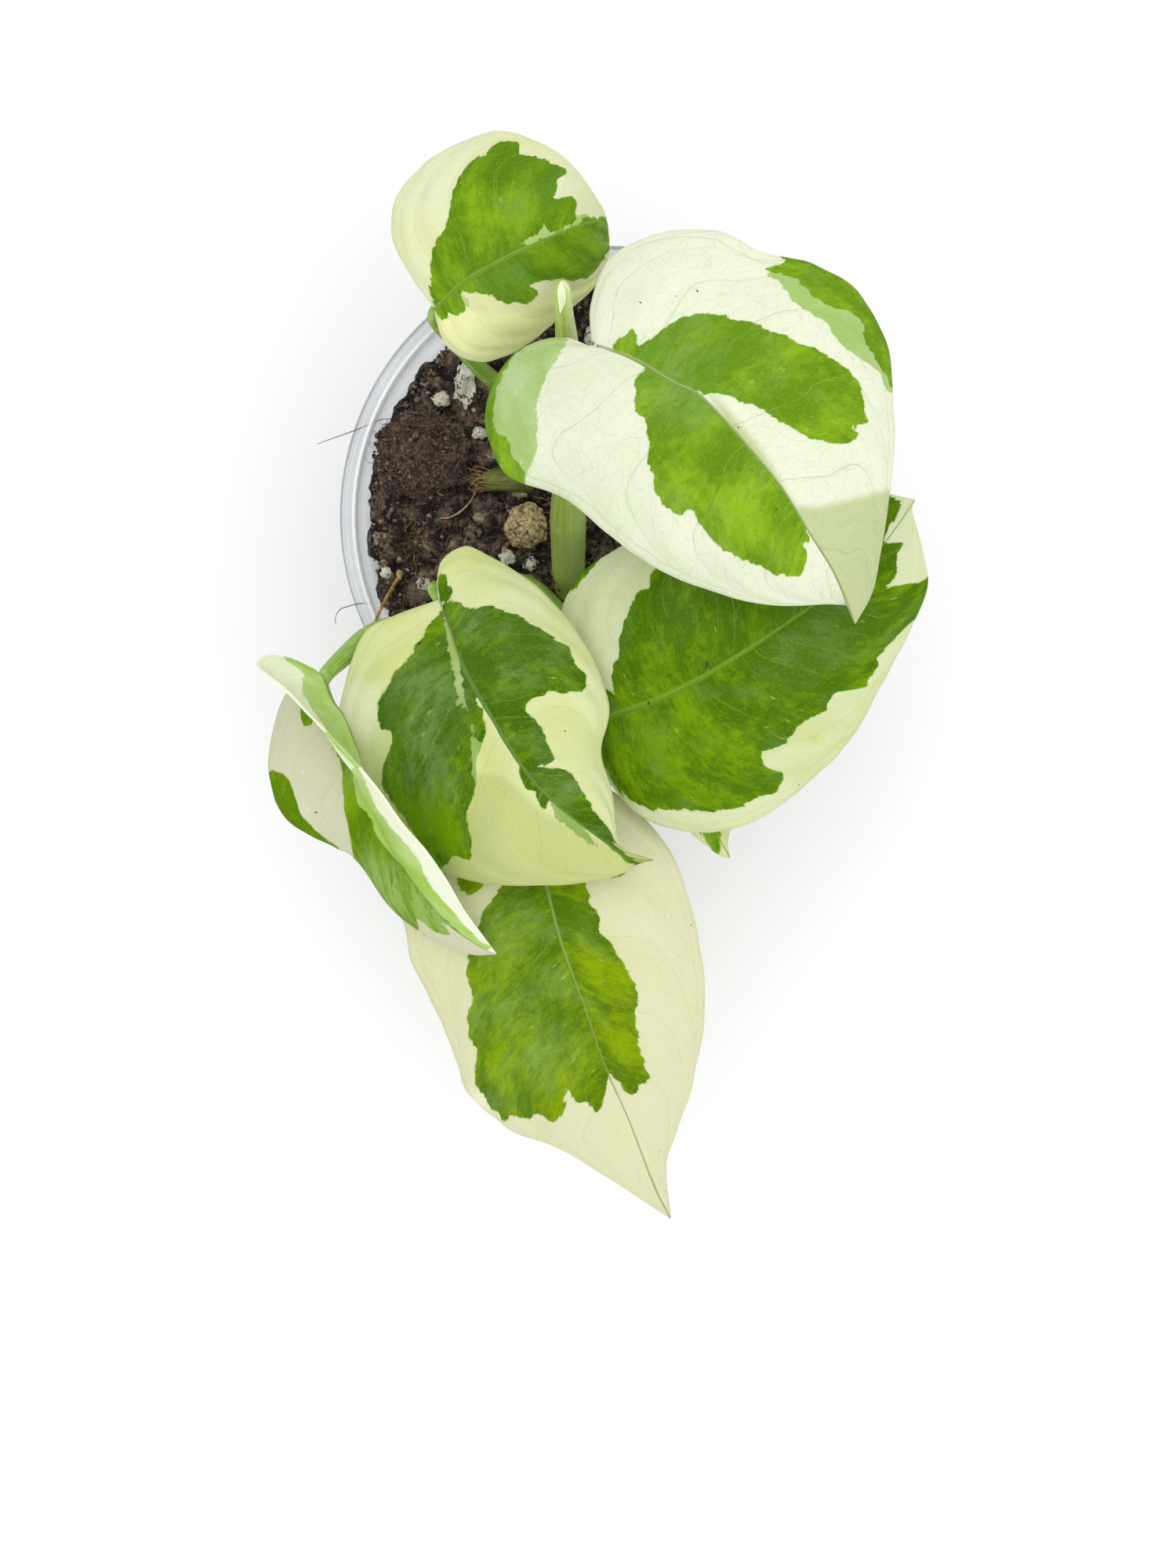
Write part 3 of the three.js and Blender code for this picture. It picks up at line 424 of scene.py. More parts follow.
# Painted sheen: reflected light painted as silvery and bluish areas, in the same way
PAINTED_SHEENS = {
    "leaf_a": [
        (655, 350, 34, 0.7), (650, 262, 20, 0.6), (700, 240, 26, 0.4), (590, 360, 20, 0.4)],
    "leaf_b": [
        (850, 495, 36, 0.9), (890, 525, 26, 0.7), (880, 440, 44, 0.5), (980, 450, 30, 0.3)],
    "leaf_c": [
        (540, 880, 44, 1.1), (535, 950, 36, 1.0), (560, 1000, 24, 0.9), (600, 795, 24, 0.8),
        (650, 800, 26, 0.5), (705, 830, 28, 0.6), (650, 865, 26, 0.4), (720, 1010, 24, 0.7)],
    "leaf_d": [
        (1050, 800, 40, 0.7), (1010, 850, 30, 0.4), (870, 780, 30, 0.3), (830, 935, 30, 0.3)],
    "leaf_e": [
        (478, 1110, 26, 0.9), (515, 1140, 30, 1.2), (560, 1174, 26, 1.4), (596, 1194, 20, 1.2),
        (448, 990, 22, 0.5), (440, 900, 34, 0.4)],
    "leaf_f": [
        (640, 1195, 34, 0.9), (705, 1245, 18, 0.9), (695, 1345, 36, 0.9), (625, 1290, 30, 0.6),
        (660, 1280, 26, 0.5), (650, 1400, 34, 0.25)],
    "leaf_g": [],
}

# Specks of mix that lie on the blades: leaf, photo pixel, length in millimetres
SPECKS = [
    ("leaf_b", (888, 369), 0.55), ("leaf_b", (819, 386), 0.5), ("leaf_b", (941, 547), 0.45),
    ("leaf_b", (989, 652), 0.5), ("leaf_b", (974, 649), 0.3), ("leaf_b", (861, 374), 0.25),
    ("leaf_d", (900, 845), 1.2), ("leaf_d", (828, 897), 0.9), ("leaf_d", (1021, 1003), 0.4),
    ("leaf_c", (535, 822), 0.8), ("leaf_c", (722, 933), 0.45), ("leaf_c", (640, 1010), 0.25),
    ("leaf_f", (884, 1182), 0.4), ("leaf_f", (841, 1467), 0.35), ("leaf_f", (848, 1520), 0.3),
    ("leaf_e", (403, 1036), 0.55), ("leaf_c", (567, 1121), 0.4),
]

# Vine, shoot, cutting and loose pieces, as in the solids
VINE = [(-7, -12.5, BURIED_MM), (-6.8, -11.5, 64), (-6.9, -9.5, 71), (-6.9, -4.5, 78),
        (-6.8, 1, 85), (-6, 10.5, 92), (-6.2, 18.5, 97), (-6.4, 22, 99.5)]
VINE_RADII = (2.2, 2.3, 2.5, 2.8, 3, 2.6, 2.3, 2.1)
ROOTS_EACH = 3
ROOT_LENGTH_MM = 14
ROOT_DROP = 3.4
ROOT_RADII = (0.9, 0.8, 0.65, 0.5, 0.45, 0.25)
VINE_ROOT_SEED = 21
LEAF_ROOT_SEED = 31
SHOOT = [(-6.7, 22.3, 100), (-6.9, 24.2, 102), (-7.2, 27, 105.5), (-7.5, 29.8, 108.8),
         (-7.7, 31.6, 110.6)]
SHOOT_RADII = (2, 2, 1.9, 1.8, 1.7, 1.6, 1.52, 1.46, 1.42, 1.38, 1.32)
CUTTING = [(-21.5, 6.6, 69.3), (-18, 6.8, 69), (-13, 6.8, 68)]
CUTTING_RADII = (1.8, 2, 1.9)
SHEATH_MM = (-6.5, -10.2)
SHEATH_RADIUS_MM = 2.5
SHEATH_HEIGHTS_MM = (67.5, 70.5, 72.5)
PEAT_LUMP = ((-31.9, 11, 69.2), (8.5, 8, 4.6))
CLAY_PEBBLE = ((-14.2, -1, 69.5), (3.8, 4.1, 3.3))
PERLITE = [
    ((-28.5, 20.5, 69), (1.8, 1.4, 1.3)), ((-24.5, 23, 69), (2, 4.4, 1.8)),
    ((-22, 14.8, 68.3), (1.4, 1.2, 1.2)), ((-17.3, -6.2, 68.3), (1.6, 1.7, 1.4)),
    ((-13.5, -7.4, 68.4), (1.3, 1.4, 1.2)), ((-31.5, -10.7, 68), (1.5, 1.2, 1.1)),
    ((-37.9, -8.8, 68), (1.1, 1.1, 1)), ((-3.3, 31, 68.5), (1.1, 2, 1.2)),
]
STRAW = [(-35.3, -8.6, 66.5), (-36.4, -11, 70), (-37.8, -14.5, 74.4), (-39, -18, 77.6),
         (-39.7, -20, 78.9)]
STRAW_RADII = (0.32, 0.3, 0.28, 0.26, 0.2)
ROOT_CURL = [(-29.3, 0.6, 67), (-27, 0.5, 68.8), (-24.4, 2.2, 68.9), (-22.7, 5, 66.6)]
ROOT_CURL_RADII = (0.12, 0.15, 0.14, 0.1)
STRAW_KNOT = (-35.7, -9.2, 68.2)
STRAW_KNOT_HALF = (0.5, 0.9, 0.7)
ROOT_HAIRS = (
    [(-48.5, 11.8, 76.7), (-45.5, 12.9, 76.7), (-42, 14.2, 76.5), (-38.5, 16.5, 72), (-36, 17, 69.5)],
    [(-45.7, -18, 75.4), (-45.6, -17, 76.4), (-44.9, -15.8, 76.9), (-43.5, -15.2, 76.7),
     (-41.5, -14.7, 76.4), (-39.9, -14.4, 72)],
    [(-12, -13, 70), (-9.5, -14.5, 70.6), (-8.6, -18, 70.4), (-8.4, -21, 69.4)],
    [(3, 1, 70), (4.5, 3, 70.8), (8, 3.4, 70.6), (10, 5.5, 69.6)],
)

# Colours that all blades share, sRGB 0 to 255, and the tint of the light that comes through
GRAIN_OLIVE = (196, 206, 138)
GLOW_LIME = (200, 208, 84)
PAINTED_LIGHT_CREAM = (251, 251, 226)
FINE_LIME = (150, 186, 44)
FINE_DARK = (54, 94, 8)
FLECK_LIME = (176, 208, 96)
DOT_WHITE = (250, 252, 240)
VEIN_ON_CREAM = (156, 172, 112)
VEIN_LIME = (156, 192, 72)
VEIN_DARK = (58, 100, 2)
RIB_ON_CREAM = (158, 170, 98)
RIB_PAINTED_SHADE = (72, 98, 18)
UNDERSIDE = (188, 200, 150)
LIGHT_THROUGH = (0.75, 0.9, 0.12, 1.0)

# Stems: middle, light and dark
STEM_COLOURS = {
    "stalk_green": ((140, 178, 70), (188, 208, 128), (108, 148, 40)),
    "vine_green": ((136, 161, 62), (168, 190, 108), (118, 144, 46)),
    "shoot_green": ((174, 198, 82), (222, 230, 172), (150, 180, 48)),
    "cutting_green": ((110, 124, 46), (146, 144, 84), (72, 70, 32)),
}
# Painted light: the vine's lower part is painted paler, against the shade inside the pot
VINE_FOOT_PAINTED_LIGHT = (168, 190, 96)
SLIT_EDGE = (112, 146, 52)
SLIT_INSIDE = (230, 241, 196)

# Crumbly matter: darkest, middle and lightest, and the scale of its grain per millimetre
CRUMB_COLOURS = {
    "potting_mix": ((40, 33, 33), (134, 116, 99), (206, 186, 158), 1.8),
    "peat": ((34, 27, 25), (111, 92, 79), (172, 140, 113), 1.5),
}
# Fibres and roots: middle, dark and light
FIBRE_COLOURS = {
    "root_fibre": ((122, 98, 76), (62, 48, 40), (184, 160, 130)),
    "tan_fibre": ((122, 97, 66), (72, 54, 36), (186, 156, 112)),
    "side_root": ((176, 148, 112), (128, 98, 70), (214, 192, 156)),
    "peat_fibre": ((88, 70, 56), (44, 34, 28), (150, 118, 88)),
    "dry_fibre": ((150, 124, 80), (92, 70, 44), (196, 172, 122)),
    "straw": ((168, 132, 74), (102, 70, 34), (214, 184, 130)),
    "root_brown": ((184, 148, 120), (124, 88, 68), (222, 196, 166)),
}
PERLITE_GREY = (194, 188, 168)
PERLITE_WHITE = (232, 229, 218)
PERLITE_PIT = (132, 120, 98)
PERLITE_DIRT = (66, 54, 42)
CLAY_BROWN = (138, 116, 78)
CLAY_TAN = (206, 186, 142)
CLAY_BLOTCH = (96, 74, 46)
CLAY_PORE = (82, 62, 38)
PLASTIC_GREY = (204, 207, 214)
PLASTIC_WHITE = (228, 230, 234)
# Painted shade on the lip's outer edge and a painted highlight on its inner edge
LIP_PAINTED_SHADE = (146, 150, 158)
LIP_PAINTED_HIGHLIGHT = (250, 250, 251)
FLOOR_WHITE = (250, 250, 249)

# Light and floor
SKY = (0.97, 0.985, 1.0, 1.0)
SKY_STRENGTH = 0.92
LIGHTS_AIM = Vector((0, -0.02, 0.08))
FLOOR_HALF_MM = 3000


# Curves
class Path:
    """A smooth curve through points, read by its share of length from 0 to 1."""

    def __init__(self, points, closed=False, steps=40):
        p = np.array(points, float)
        if closed:
            p = np.vstack([p[-1], p, p[0], p[1]])
        else:
            p = np.vstack([2 * p[0] - p[1], p, 2 * p[-1] - p[-2]])
        t = np.linspace(0, 1, steps, endpoint=False)[:, None]
        pieces = []
        for a, b, c, d in zip(p, p[1:], p[2:], p[3:]):
            leave = (c - a) / 2
            arrive = (d - b) / 2
            pieces.append(b + leave * t + (3 * (c - b) - 2 * leave - arrive) * t ** 2
                          + (2 * (b - c) + leave + arrive) * t ** 3)
        self.points = np.vstack(pieces + [p[-2][None]])
        run = np.linalg.norm(np.diff(self.points, axis=0), axis=1)
        self.length = run.sum()
        self.share = np.concatenate([[0], np.cumsum(run)]) / self.length
        slopes = np.gradient(self.points, axis=0)
        self.slopes = slopes / np.linalg.norm(slopes, axis=1)[:, None]

    def at(self, share):
        return np.stack([np.interp(share, self.share, c) for c in self.points.T], -1)

    def ahead(self, share):
        slope = np.stack([np.interp(share, self.share, c) for c in self.slopes.T], -1)
        return slope / np.linalg.norm(slope, axis=-1, keepdims=True)


def unit(vectors):
    size = np.linalg.norm(vectors, axis=-1, keepdims=True)
    return vectors / np.maximum(size, 1e-9)


def photo_pixels(points):
    """Where points in millimetres lie in the photograph."""
    depth = CAMERA_MM[2] - points[..., 2]
    right = PHOTO_SIZE_PX[0] / 2 + FOCAL_PX * (points[..., 0] - CAMERA_MM[0]) / depth
    down = PHOTO_SIZE_PX[1] / 2 - FOCAL_PX * (points[..., 1] - CAMERA_MM[1]) / depth
    return np.stack([right, down], -1)


def inside_by(pixels, outline):
    """Distance inside a smooth closed outline, in pixels, negative outside."""
    ring = Path(outline, closed=True, steps=5).points
    nearest = np.full(len(pixels), np.inf)
    crossings = np.zeros(len(pixels), int)
    for (ax, ay), (bx, by) in zip(ring[:-1], ring[1:]):
        dx, dy = bx - ax, by - ay
        px, py = pixels[:, 0] - ax, pixels[:, 1] - ay
        t = np.clip((px * dx + py * dy) / max(dx * dx + dy * dy, 1e-9), 0, 1)
        nearest = np.minimum(nearest, np.hypot(px - t * dx, py - t * dy))
        spans = (ay > pixels[:, 1]) != (by > pixels[:, 1])
        if dy:
            crossings += spans & (px < dx * py / dy)
    return np.where(crossings % 2 == 1, nearest, -nearest)


# Seeded draws, the same rule as in the solids
def draws(seed):
    state = seed
    while True:
        state = (state * 1664525 + 1013904223) % 4294967296
        yield state / 4294967296


# Meshes
def add_mesh(name, points_mm, faces, materials, face_materials=None, floats=None, vectors=None):
    """A smooth mesh object; floats and vectors are attributes of its points, by name."""
    mesh = bpy.data.meshes.new(name)
    mesh.from_pydata((np.asarray(points_mm, float) * MM).tolist(), [], faces)
    for material in materials:
        mesh.materials.append(material)
    if face_materials is not None:
        mesh.polygons.foreach_set("material_index", face_materials)
    for label, values in (floats or {}).items():
        mesh.attributes.new(label, "FLOAT", "POINT").data.foreach_set("value", np.ravel(values))
    for label, values in (vectors or {}).items():
        made = mesh.attributes.new(label, "FLOAT_VECTOR", "POINT")
        made.data.foreach_set("vector", np.asarray(values, float).ravel())
    mesh.polygons.foreach_set("use_smooth", [True] * len(mesh.polygons))
    mesh.validate()
    mesh.update()
    piece = bpy.data.objects.new(name, mesh)
    bpy.context.scene.collection.objects.link(piece)
    return piece


def place(piece, slot, *nodes):
    """Gives a finished piece its body and hides the solids it stands for; slot is not used."""
    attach(piece, "root")
    if nodes:
        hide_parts(*nodes)


def ring_faces(gaps, sides, first=0):
    """The faces between each ring of points and the next; first is the index where they start."""
    faces = []
    for i in range(gaps):
        a = first + i * sides
        for j in range(sides):
            k = (j + 1) % sides
            faces.append((a + j, a + k, a + sides + k, a + sides + j))
    return faces


def end_fans(sides, low_tip, low_ring, high_tip, high_ring):
    """Triangles that close the first ring towards one point and the last towards another."""
    faces = []
    for j in range(sides):
        k = (j + 1) % sides
        faces.append((low_tip, low_ring + k, low_ring + j))
        faces.append((high_tip, high_ring + j, high_ring + k))
    return faces


def sweep(route, radii, sides, steps, shape=None):
    """Points, faces, share and turn of a tube along a route; shape(share, turn) scales its radius."""
    path = Path(route)
    share = np.linspace(0, 1, steps + 1)
    centre = path.at(share)
    ahead = path.ahead(share)
    up = np.array([0.0, 0.0, 1.0]) if abs(ahead[0][2]) < 0.9 else np.array([0.0, 1.0, 0.0])
    normal = unit(np.cross(np.cross(ahead[0], up), ahead[0]))
    turn = np.arange(sides) * FULL_TURN / sides
    points = []
    for i in range(steps + 1):
        normal = unit(normal - ahead[i] * np.dot(normal, ahead[i]))
        side = np.cross(ahead[i], normal)
        radius = np.interp(share[i], np.linspace(0, 1, len(radii)), radii)
        scale = np.ones(sides) if shape is None else np.array([shape(share[i], t) for t in turn])
        ring = np.cos(turn)[:, None] * normal + np.sin(turn)[:, None] * side
        points.append(centre[i] + ring * (radius * scale)[:, None])
    faces = ring_faces(steps, sides)
    faces.append(tuple(range(sides - 1, -1, -1)))
    faces.append(tuple(steps * sides + j for j in range(sides)))
    return np.vstack(points), faces, np.repeat(share, sides), np.tile(turn, steps + 1)


class Heap:
    """Gathers many small shapes into one mesh, each with its tone."""

    def __init__(self):
        self.points = []
        self.faces = []
        self.tones = []
        self.count = 0

    def add(self, points, faces, tone):
        self.points.append(np.asarray(points, float))
        self.faces += [tuple(k + self.count for k in face) for face in faces]
        self.tones.append(np.full(len(points), tone))
        self.count += len(points)

    def tube(self, route, radii, sides, steps, tone, shape=None):
        points, faces, _, _ = sweep(route, radii, sides, steps, shape)
        self.add(points, faces, tone)

    def place(self, name, material, slot, *nodes):
        points = np.vstack(self.points)
        tones = np.concatenate(self.tones)
        piece = add_mesh(name, points, self.faces, [material], floats={"tone": tones})
        place(piece, slot, *nodes)


def ball(subdivisions):
    made = bmesh.new()
    bmesh.ops.create_icosphere(made, subdivisions=subdivisions, radius=1)
    points = np.array([v.co[:] for v in made.verts])
    faces = [tuple(v.index for v in f.verts) for f in made.faces]
    made.free()
    return points, faces


BALLS = {k: ball(k) for k in (1, 2, 3, 4, 5, 6)}


def rough_ball(subdivisions, rough, scale, offset, detail=3):
    """A unit lump: a ball pushed in and out by fractal noise."""
    points, faces = BALLS[subdivisions]
    offset = Vector(offset)
    swell = [1 + rough * noise.fractal(Vector(p) * scale + offset, 1.0, 2.0, detail) for p in points]
    return points * np.array(swell)[:, None], faces


def turned(rng):
    """A rotation by a seeded draw, as a 3 x 3 array."""
    axis = Vector((rng.gauss(0, 1), rng.gauss(0, 1), rng.gauss(0, 1))).normalized()
    return np.array(Matrix.Rotation(rng.uniform(0, FULL_TURN), 3, axis))


def squashed(rng, kinds, size, second, third):
    """One of some shapes, scaled within a range along its second and along its third axis."""
    base, faces = rng.choice(kinds)
    squash = np.array([1, rng.uniform(*second), rng.uniform(*third)]) * size
    return base * squash, faces


def spot_on_disc(rng, reach):
    """A seeded spot on a disc."""
    r = reach * math.sqrt(rng.random())
    turn = rng.uniform(0, FULL_TURN)
    return r * math.cos(turn), r * math.sin(turn)


# Materials
def linear(colour):
    """sRGB 0 to 255 as scene-linear RGBA."""
    return [((c / 255 + 0.055) / 1.055) ** 2.4 if c > 10 else c / 255 / 12.92 for c in colour] + [1.0]


class Shade:
    """Builds a material's nodes by name."""

    def __init__(self, name):
        self.material = bpy.data.materials.new(name)
        self.material.use_nodes = True
        self.tree = self.material.node_tree
        self.tree.nodes.clear()

    def node(self, kind, inputs, **settings):
        made = self.tree.nodes.new(kind)
        for label, value in settings.items():
            setattr(made, label, value)
        for label, value in inputs.items():
            self.put(made.inputs[label], value)
        return made

    def put(self, socket, value):
        if isinstance(value, bpy.types.NodeSocket):
            self.tree.links.new(value, socket)
        else:
            socket.default_value = value

    def math(self, operation, *values, clamp=False):
        made = self.node("ShaderNodeMath", {}, operation=operation, use_clamp=clamp)
        for socket, value in zip(made.inputs, values):
            self.put(socket, value)
        return made.outputs[0]

    def times(self, a, b):
        return self.math("MULTIPLY", a, b)

    def total(self, *parts):
        value = parts[0]
        for part in parts[1:]:
            value = self.math("ADD", value, part)
        return value

    def mix(self, share, a, b, blend="MIX"):
        """Mixes two colours; the node's colour sockets are its seventh and eighth inputs."""
        made = self.node("ShaderNodeMix", {0: share}, data_type="RGBA", blend_type=blend)
        self.put(made.inputs[6], a)
        self.put(made.inputs[7], b)
        return made.outputs[2]

    def over(self, colour, share, rgb):
        """Lays an sRGB colour over another by a share."""
        return self.mix(share, colour, linear(rgb))

    def ramp(self, value, low, high, to_low=0.0, to_high=1.0):
        made = self.node("ShaderNodeMapRange", {
            "Value": value, "From Min": low, "From Max": high, "To Min": to_low, "To Max": to_high,
        }, interpolation_type="SMOOTHSTEP")
        return made.outputs[0]

    def attribute(self, name, output="Vector"):
        return self.node("ShaderNodeAttribute", {}, attribute_name=name).outputs[output]

    def parts(self, vector):
        made = self.node("ShaderNodeSeparateXYZ", {0: vector})
        return made.outputs[0], made.outputs[1], made.outputs[2]

    def join(self, x, y, z):
        return self.node("ShaderNodeCombineXYZ", {0: x, 1: y, 2: z}).outputs[0]

    def noise(self, vector, scale, detail=2.0, roughness=0.5):
        inputs = {"Vector": vector, "Scale": scale, "Detail": detail, "Roughness": roughness}
        return self.node("ShaderNodeTexNoise", inputs).outputs["Fac"]

    def cells(self, vector, scale, feature="F1"):
        inputs = {"Vector": vector, "Scale": scale}
        return self.node("ShaderNodeTexVoronoi", inputs, feature=feature).outputs["Distance"]

    def scaled(self, vector, factors):
        made = self.node("ShaderNodeVectorMath", {0: vector, 1: factors}, operation="MULTIPLY")
        return made.outputs[0]

    def place_mm(self):
        """The object's own coordinates in millimetres."""
        own = self.node("ShaderNodeTexCoord", {}).outputs["Object"]
        return self.scaled(own, (1 / MM, 1 / MM, 1 / MM))

    def bump(self, height, distance_mm, strength):
        inputs = {"Strength": strength, "Distance": distance_mm * MM, "Height": height}
        return self.node("ShaderNodeBump", inputs).outputs[0]

    def surface(self, colour, roughness, specular, normal=None):
        inputs = {"Base Color": colour, "Roughness": roughness, "Specular IOR Level": specular}
        if normal is not None:
            inputs["Normal"] = normal
        return self.node("ShaderNodeBsdfPrincipled", inputs).outputs[0]

    def blend_shaders(self, share, a, b):
        return self.node("ShaderNodeMixShader", {0: share, 1: a, 2: b}).outputs[0]

    def finish(self, shader):
        output = self.node("ShaderNodeOutputMaterial", {})
        self.tree.links.new(shader, output.inputs["Surface"])
        return self.material


class BladeShade(Shade):
    """A blade's nodes, made from the attributes of its points.

    leaf_place is the run along the rib, swept as the veins are, the signed distance from the
    rib, both in millimetres, and 0 above to 1 below. The marks attribute is the distance inside
    the green, the pale and the painted shading, shade painted on the cream and on leaf_a light.
    The tone attribute is the soft spots, limier green and yellower cream above 0, darker green
    and whiter cream below 0, the whiter cream being painted light; then the painted sheen of
    reflected light and the veins' phase, which is a whole number on a vein. leaf_form is half
    the rib's width, the swell between veins from 0 to 1 and the share of the way out to the margin.
    """

    def __init__(self, name, look, seed):
        super().__init__(name)
        self.look = look
        self.seed = seed
        self.run, self.out, self.under = self.parts(self.attribute("leaf_place"))
        green_by, pale_by, self.painted_shading_by = self.parts(self.attribute("leaf_marks_and_painted_shading"))
        self.glow, self.sheen, self.phase = self.parts(self.attribute("leaf_tone_and_painted_light"))
        self.rib_mm, self.swell, self.reach = self.parts(self.attribute("leaf_form"))
        self.flat = self.join(self.run, self.out, seed)
        self.grain = self.noise(self.flat, 2.2, 4.0, 0.6)
        self.patches = self.centred(self.noise(self.flat, 0.13, 3.0, 0.55))
        self.mottle = self.centred(self.drawn_out(0.7, 1.6, 5.0, 4.0, 0.6))
        self.streaks = self.centred(self.drawn_out(1.6, 6, 0.0, 4.0, 0.65))
        self.fingers = self.centred(self.drawn_out(0.8, 4, 0.0, 2.0))
        # The green ends in fingers along the veins and in small teeth
        teeth = self.centred(self.drawn_out(2.2, 2.2, 3.0, 3.0, 0.6))
        fringe = self.total(self.times(self.fingers, 1.6), self.times(teeth, 0.5))
        fringe = self.times(fringe, look["ragged"])
        self.green_by = self.total(green_by, fringe)
        self.green = self.ramp(self.green_by, -0.07, 0.07)
        self.pale = self.ramp(self.total(pale_by, fringe), -0.12, 0.12)
        self.off_green = self.math("SUBTRACT", 1.0, self.green)

    def veinwise(self, scale, stretch, shift=0.0):
        """Coordinates drawn out along the veins."""
        return self.join(self.times(self.run, scale), self.times(self.out, scale / stretch),
                         self.seed + shift)

    def drawn_out(self, scale, stretch, shift, detail, roughness=0.5):
        """Noise drawn out along the veins."""
        return self.noise(self.veinwise(scale, stretch, shift), 1.0, detail, roughness)

    def centred(self, value):
        return self.math("SUBTRACT", value, 0.5)

    def cream(self):
        """Cream, a little deeper and yellower in soft clouds, with painted shading in its marked areas,
        and at the soft spots yellower above 0 and whiter, as painted light, below 0.
        """
        look = self.look
        clouds = self.ramp(self.noise(self.flat, 0.09, 3.0), 0.42, 0.72)
        colour = self.mix(clouds, linear(look["cream"]), linear(look["blush"]))
        colour = self.over(colour, self.ramp(self.grain, 0.35, 0.65, 0.08, 0.0), GRAIN_OLIVE)
        # Painted shading: shade painted on the cream in its marked areas, and on leaf_a light
        colour = self.over(colour, self.times(self.ramp(self.painted_shading_by, -0.8, 0.8), 0.9), look["painted_shading"])
        colour = self.over(colour, self.ramp(self.glow, 0.1, 1.0, 0.0, 0.45), GLOW_LIME)
        # Painted light: the cream turns whiter at spots below 0
        return self.over(colour, self.ramp(self.glow, -0.1, -1.0, 0.0, 0.8), PAINTED_LIGHT_CREAM)

    def leaf_green(self):
        """Green: limier on swells, at spots above 0 and in soft clouds, with a grain along the veins,
        and painted sheen, reflected light painted paler in brushed clouds and at the sheen spots.
        """
        look = self.look
        strokes = self.ramp(self.drawn_out(0.9, 2.2, 6.0, 4.0, 0.6), 0.42, 0.62, -0.5, 0.5)
        level = self.total(
            self.times(self.swell, 0.24), self.times(self.patches, 0.4 + look["strokes"]),
            self.times(self.mottle, 0.7), self.times(self.streaks, 0.6 * look["strokes"]),
            self.times(strokes, 0.3 * look["strokes"]), self.times(self.glow, 0.45))
        colour = self.over(linear(look["green"]), self.ramp(level, -0.12, 0.62), look["lime"])
        # Painted sheen: reflected light, painted paler in brushed clouds and at the sheen spots
        cloud = self.ramp(self.drawn_out(0.16, 1.3, 9.0, 3.0, 0.55), 0.5, 0.68, 0.0, 0.45)
        brushed = self.ramp(self.drawn_out(0.55, 2.6, 11.0, 4.0, 0.65), 0.4, 0.58, 0.3, 1.0)
        painted_sheen = self.math("MULTIPLY", self.total(self.sheen, cloud), brushed, clamp=True)
        colour = self.over(colour, self.times(painted_sheen, 0.75), look["painted_sheen"])
        fine = self.drawn_out(2.8, 1.4, 7.0, 3.0, 0.6)
        colour = self.over(colour, self.ramp(fine, 0.54, 0.7, 0.0, 0.3), FINE_LIME)
        return self.over(colour, self.ramp(fine, 0.3, 0.47, 0.3, 0.0), FINE_DARK)

    def marked(self):
        """Cream with its pale and green areas; the green thins to sage at its very border."""
        pale = linear(self.look["pale"])
        cream = self.cream()
        sage = self.mix(self.ramp(self.patches, -0.15, 0.2, 0.0, 0.3), pale, cream)
        colour = self.mix(self.pale, cream, sage)
        rim = self.times(self.ramp(self.green_by, -0.24, -0.04), 0.35)
        return self.mix(self.green, self.mix(rim, colour, pale), self.leaf_green())

    def flecked(self, colour):
        """Pale flecks in the green and faint dots all over."""
        fleck = self.ramp(self.cells(self.veinwise(0.9, 2.6), 0.75), 0.15, 0.07)
        some = self.ramp(self.noise(self.flat, 0.2), 0.46, 0.58)
        tone = self.mix(self.green, linear(self.look["blush"]), linear(FLECK_LIME))
        colour = self.mix(self.times(self.times(fleck, some), 0.5), colour, tone)
        dots = self.times(self.ramp(self.cells(self.flat, 1.9), 0.24, 0.1), self.off_green)
        return self.over(colour, self.times(dots, 0.2), DOT_WHITE)

    def vein_line(self, value, width_mm, gap_mm):
        """A line wherever the value is a whole number."""
        part = self.math("FRACT", self.total(value, 0.5))
        apart = self.math("ABSOLUTE", self.centred(part))
        return self.ramp(self.times(apart, gap_mm), width_mm, width_mm * 0.35)

    def veined(self, colour):
        """The lateral veins, the lesser ones between them, the line by the margin and the net."""
        gap_mm = self.look["mid_path"].length / VEIN_PAIRS
        phase = self.total(self.phase, self.times(self.fingers, 0.12))
        laterals = self.vein_line(phase, 0.1, gap_mm)
        phase = self.total(self.times(self.phase, 3.0), self.times(self.patches, 1.2))
        lesser = self.vein_line(phase, 0.09, gap_mm / 3)
        from_border = self.math("SUBTRACT", self.total(self.reach, self.times(self.fingers, 0.03)), 0.93)
        border = self.ramp(self.math("ABSOLUTE", from_border), 0.008, 0.003)
        bent = self.join(self.total(self.times(self.run, 0.7), self.times(self.patches, 1.2)),
                         self.total(self.times(self.out, 0.5), self.fingers), self.seed)
        net = self.ramp(self.cells(bent, 1.0, "DISTANCE_TO_EDGE"), 0.045, 0.01)
        net = self.times(net, self.ramp(self.mottle, -0.15, 0.15, 0.15, 0.5))
        veins = self.math("MAXIMUM", self.math("MAXIMUM", laterals, self.times(border, 0.7)),
                          self.math("MAXIMUM", self.times(lesser, 0.35), net))
        on_cream = self.times(veins, 0.42 * self.look["veins"] + 0.05)
        colour = self.over(colour, self.times(on_cream, self.off_green), VEIN_ON_CREAM)
        tone = self.mix(self.ramp(self.patches, -0.1, 0.1), linear(VEIN_LIME), linear(VEIN_DARK))
        on_green = self.times(self.math("MAXIMUM", laterals, self.times(lesser, 0.5)), 0.42)
        return self.mix(self.times(on_green, self.green), colour, tone), veins

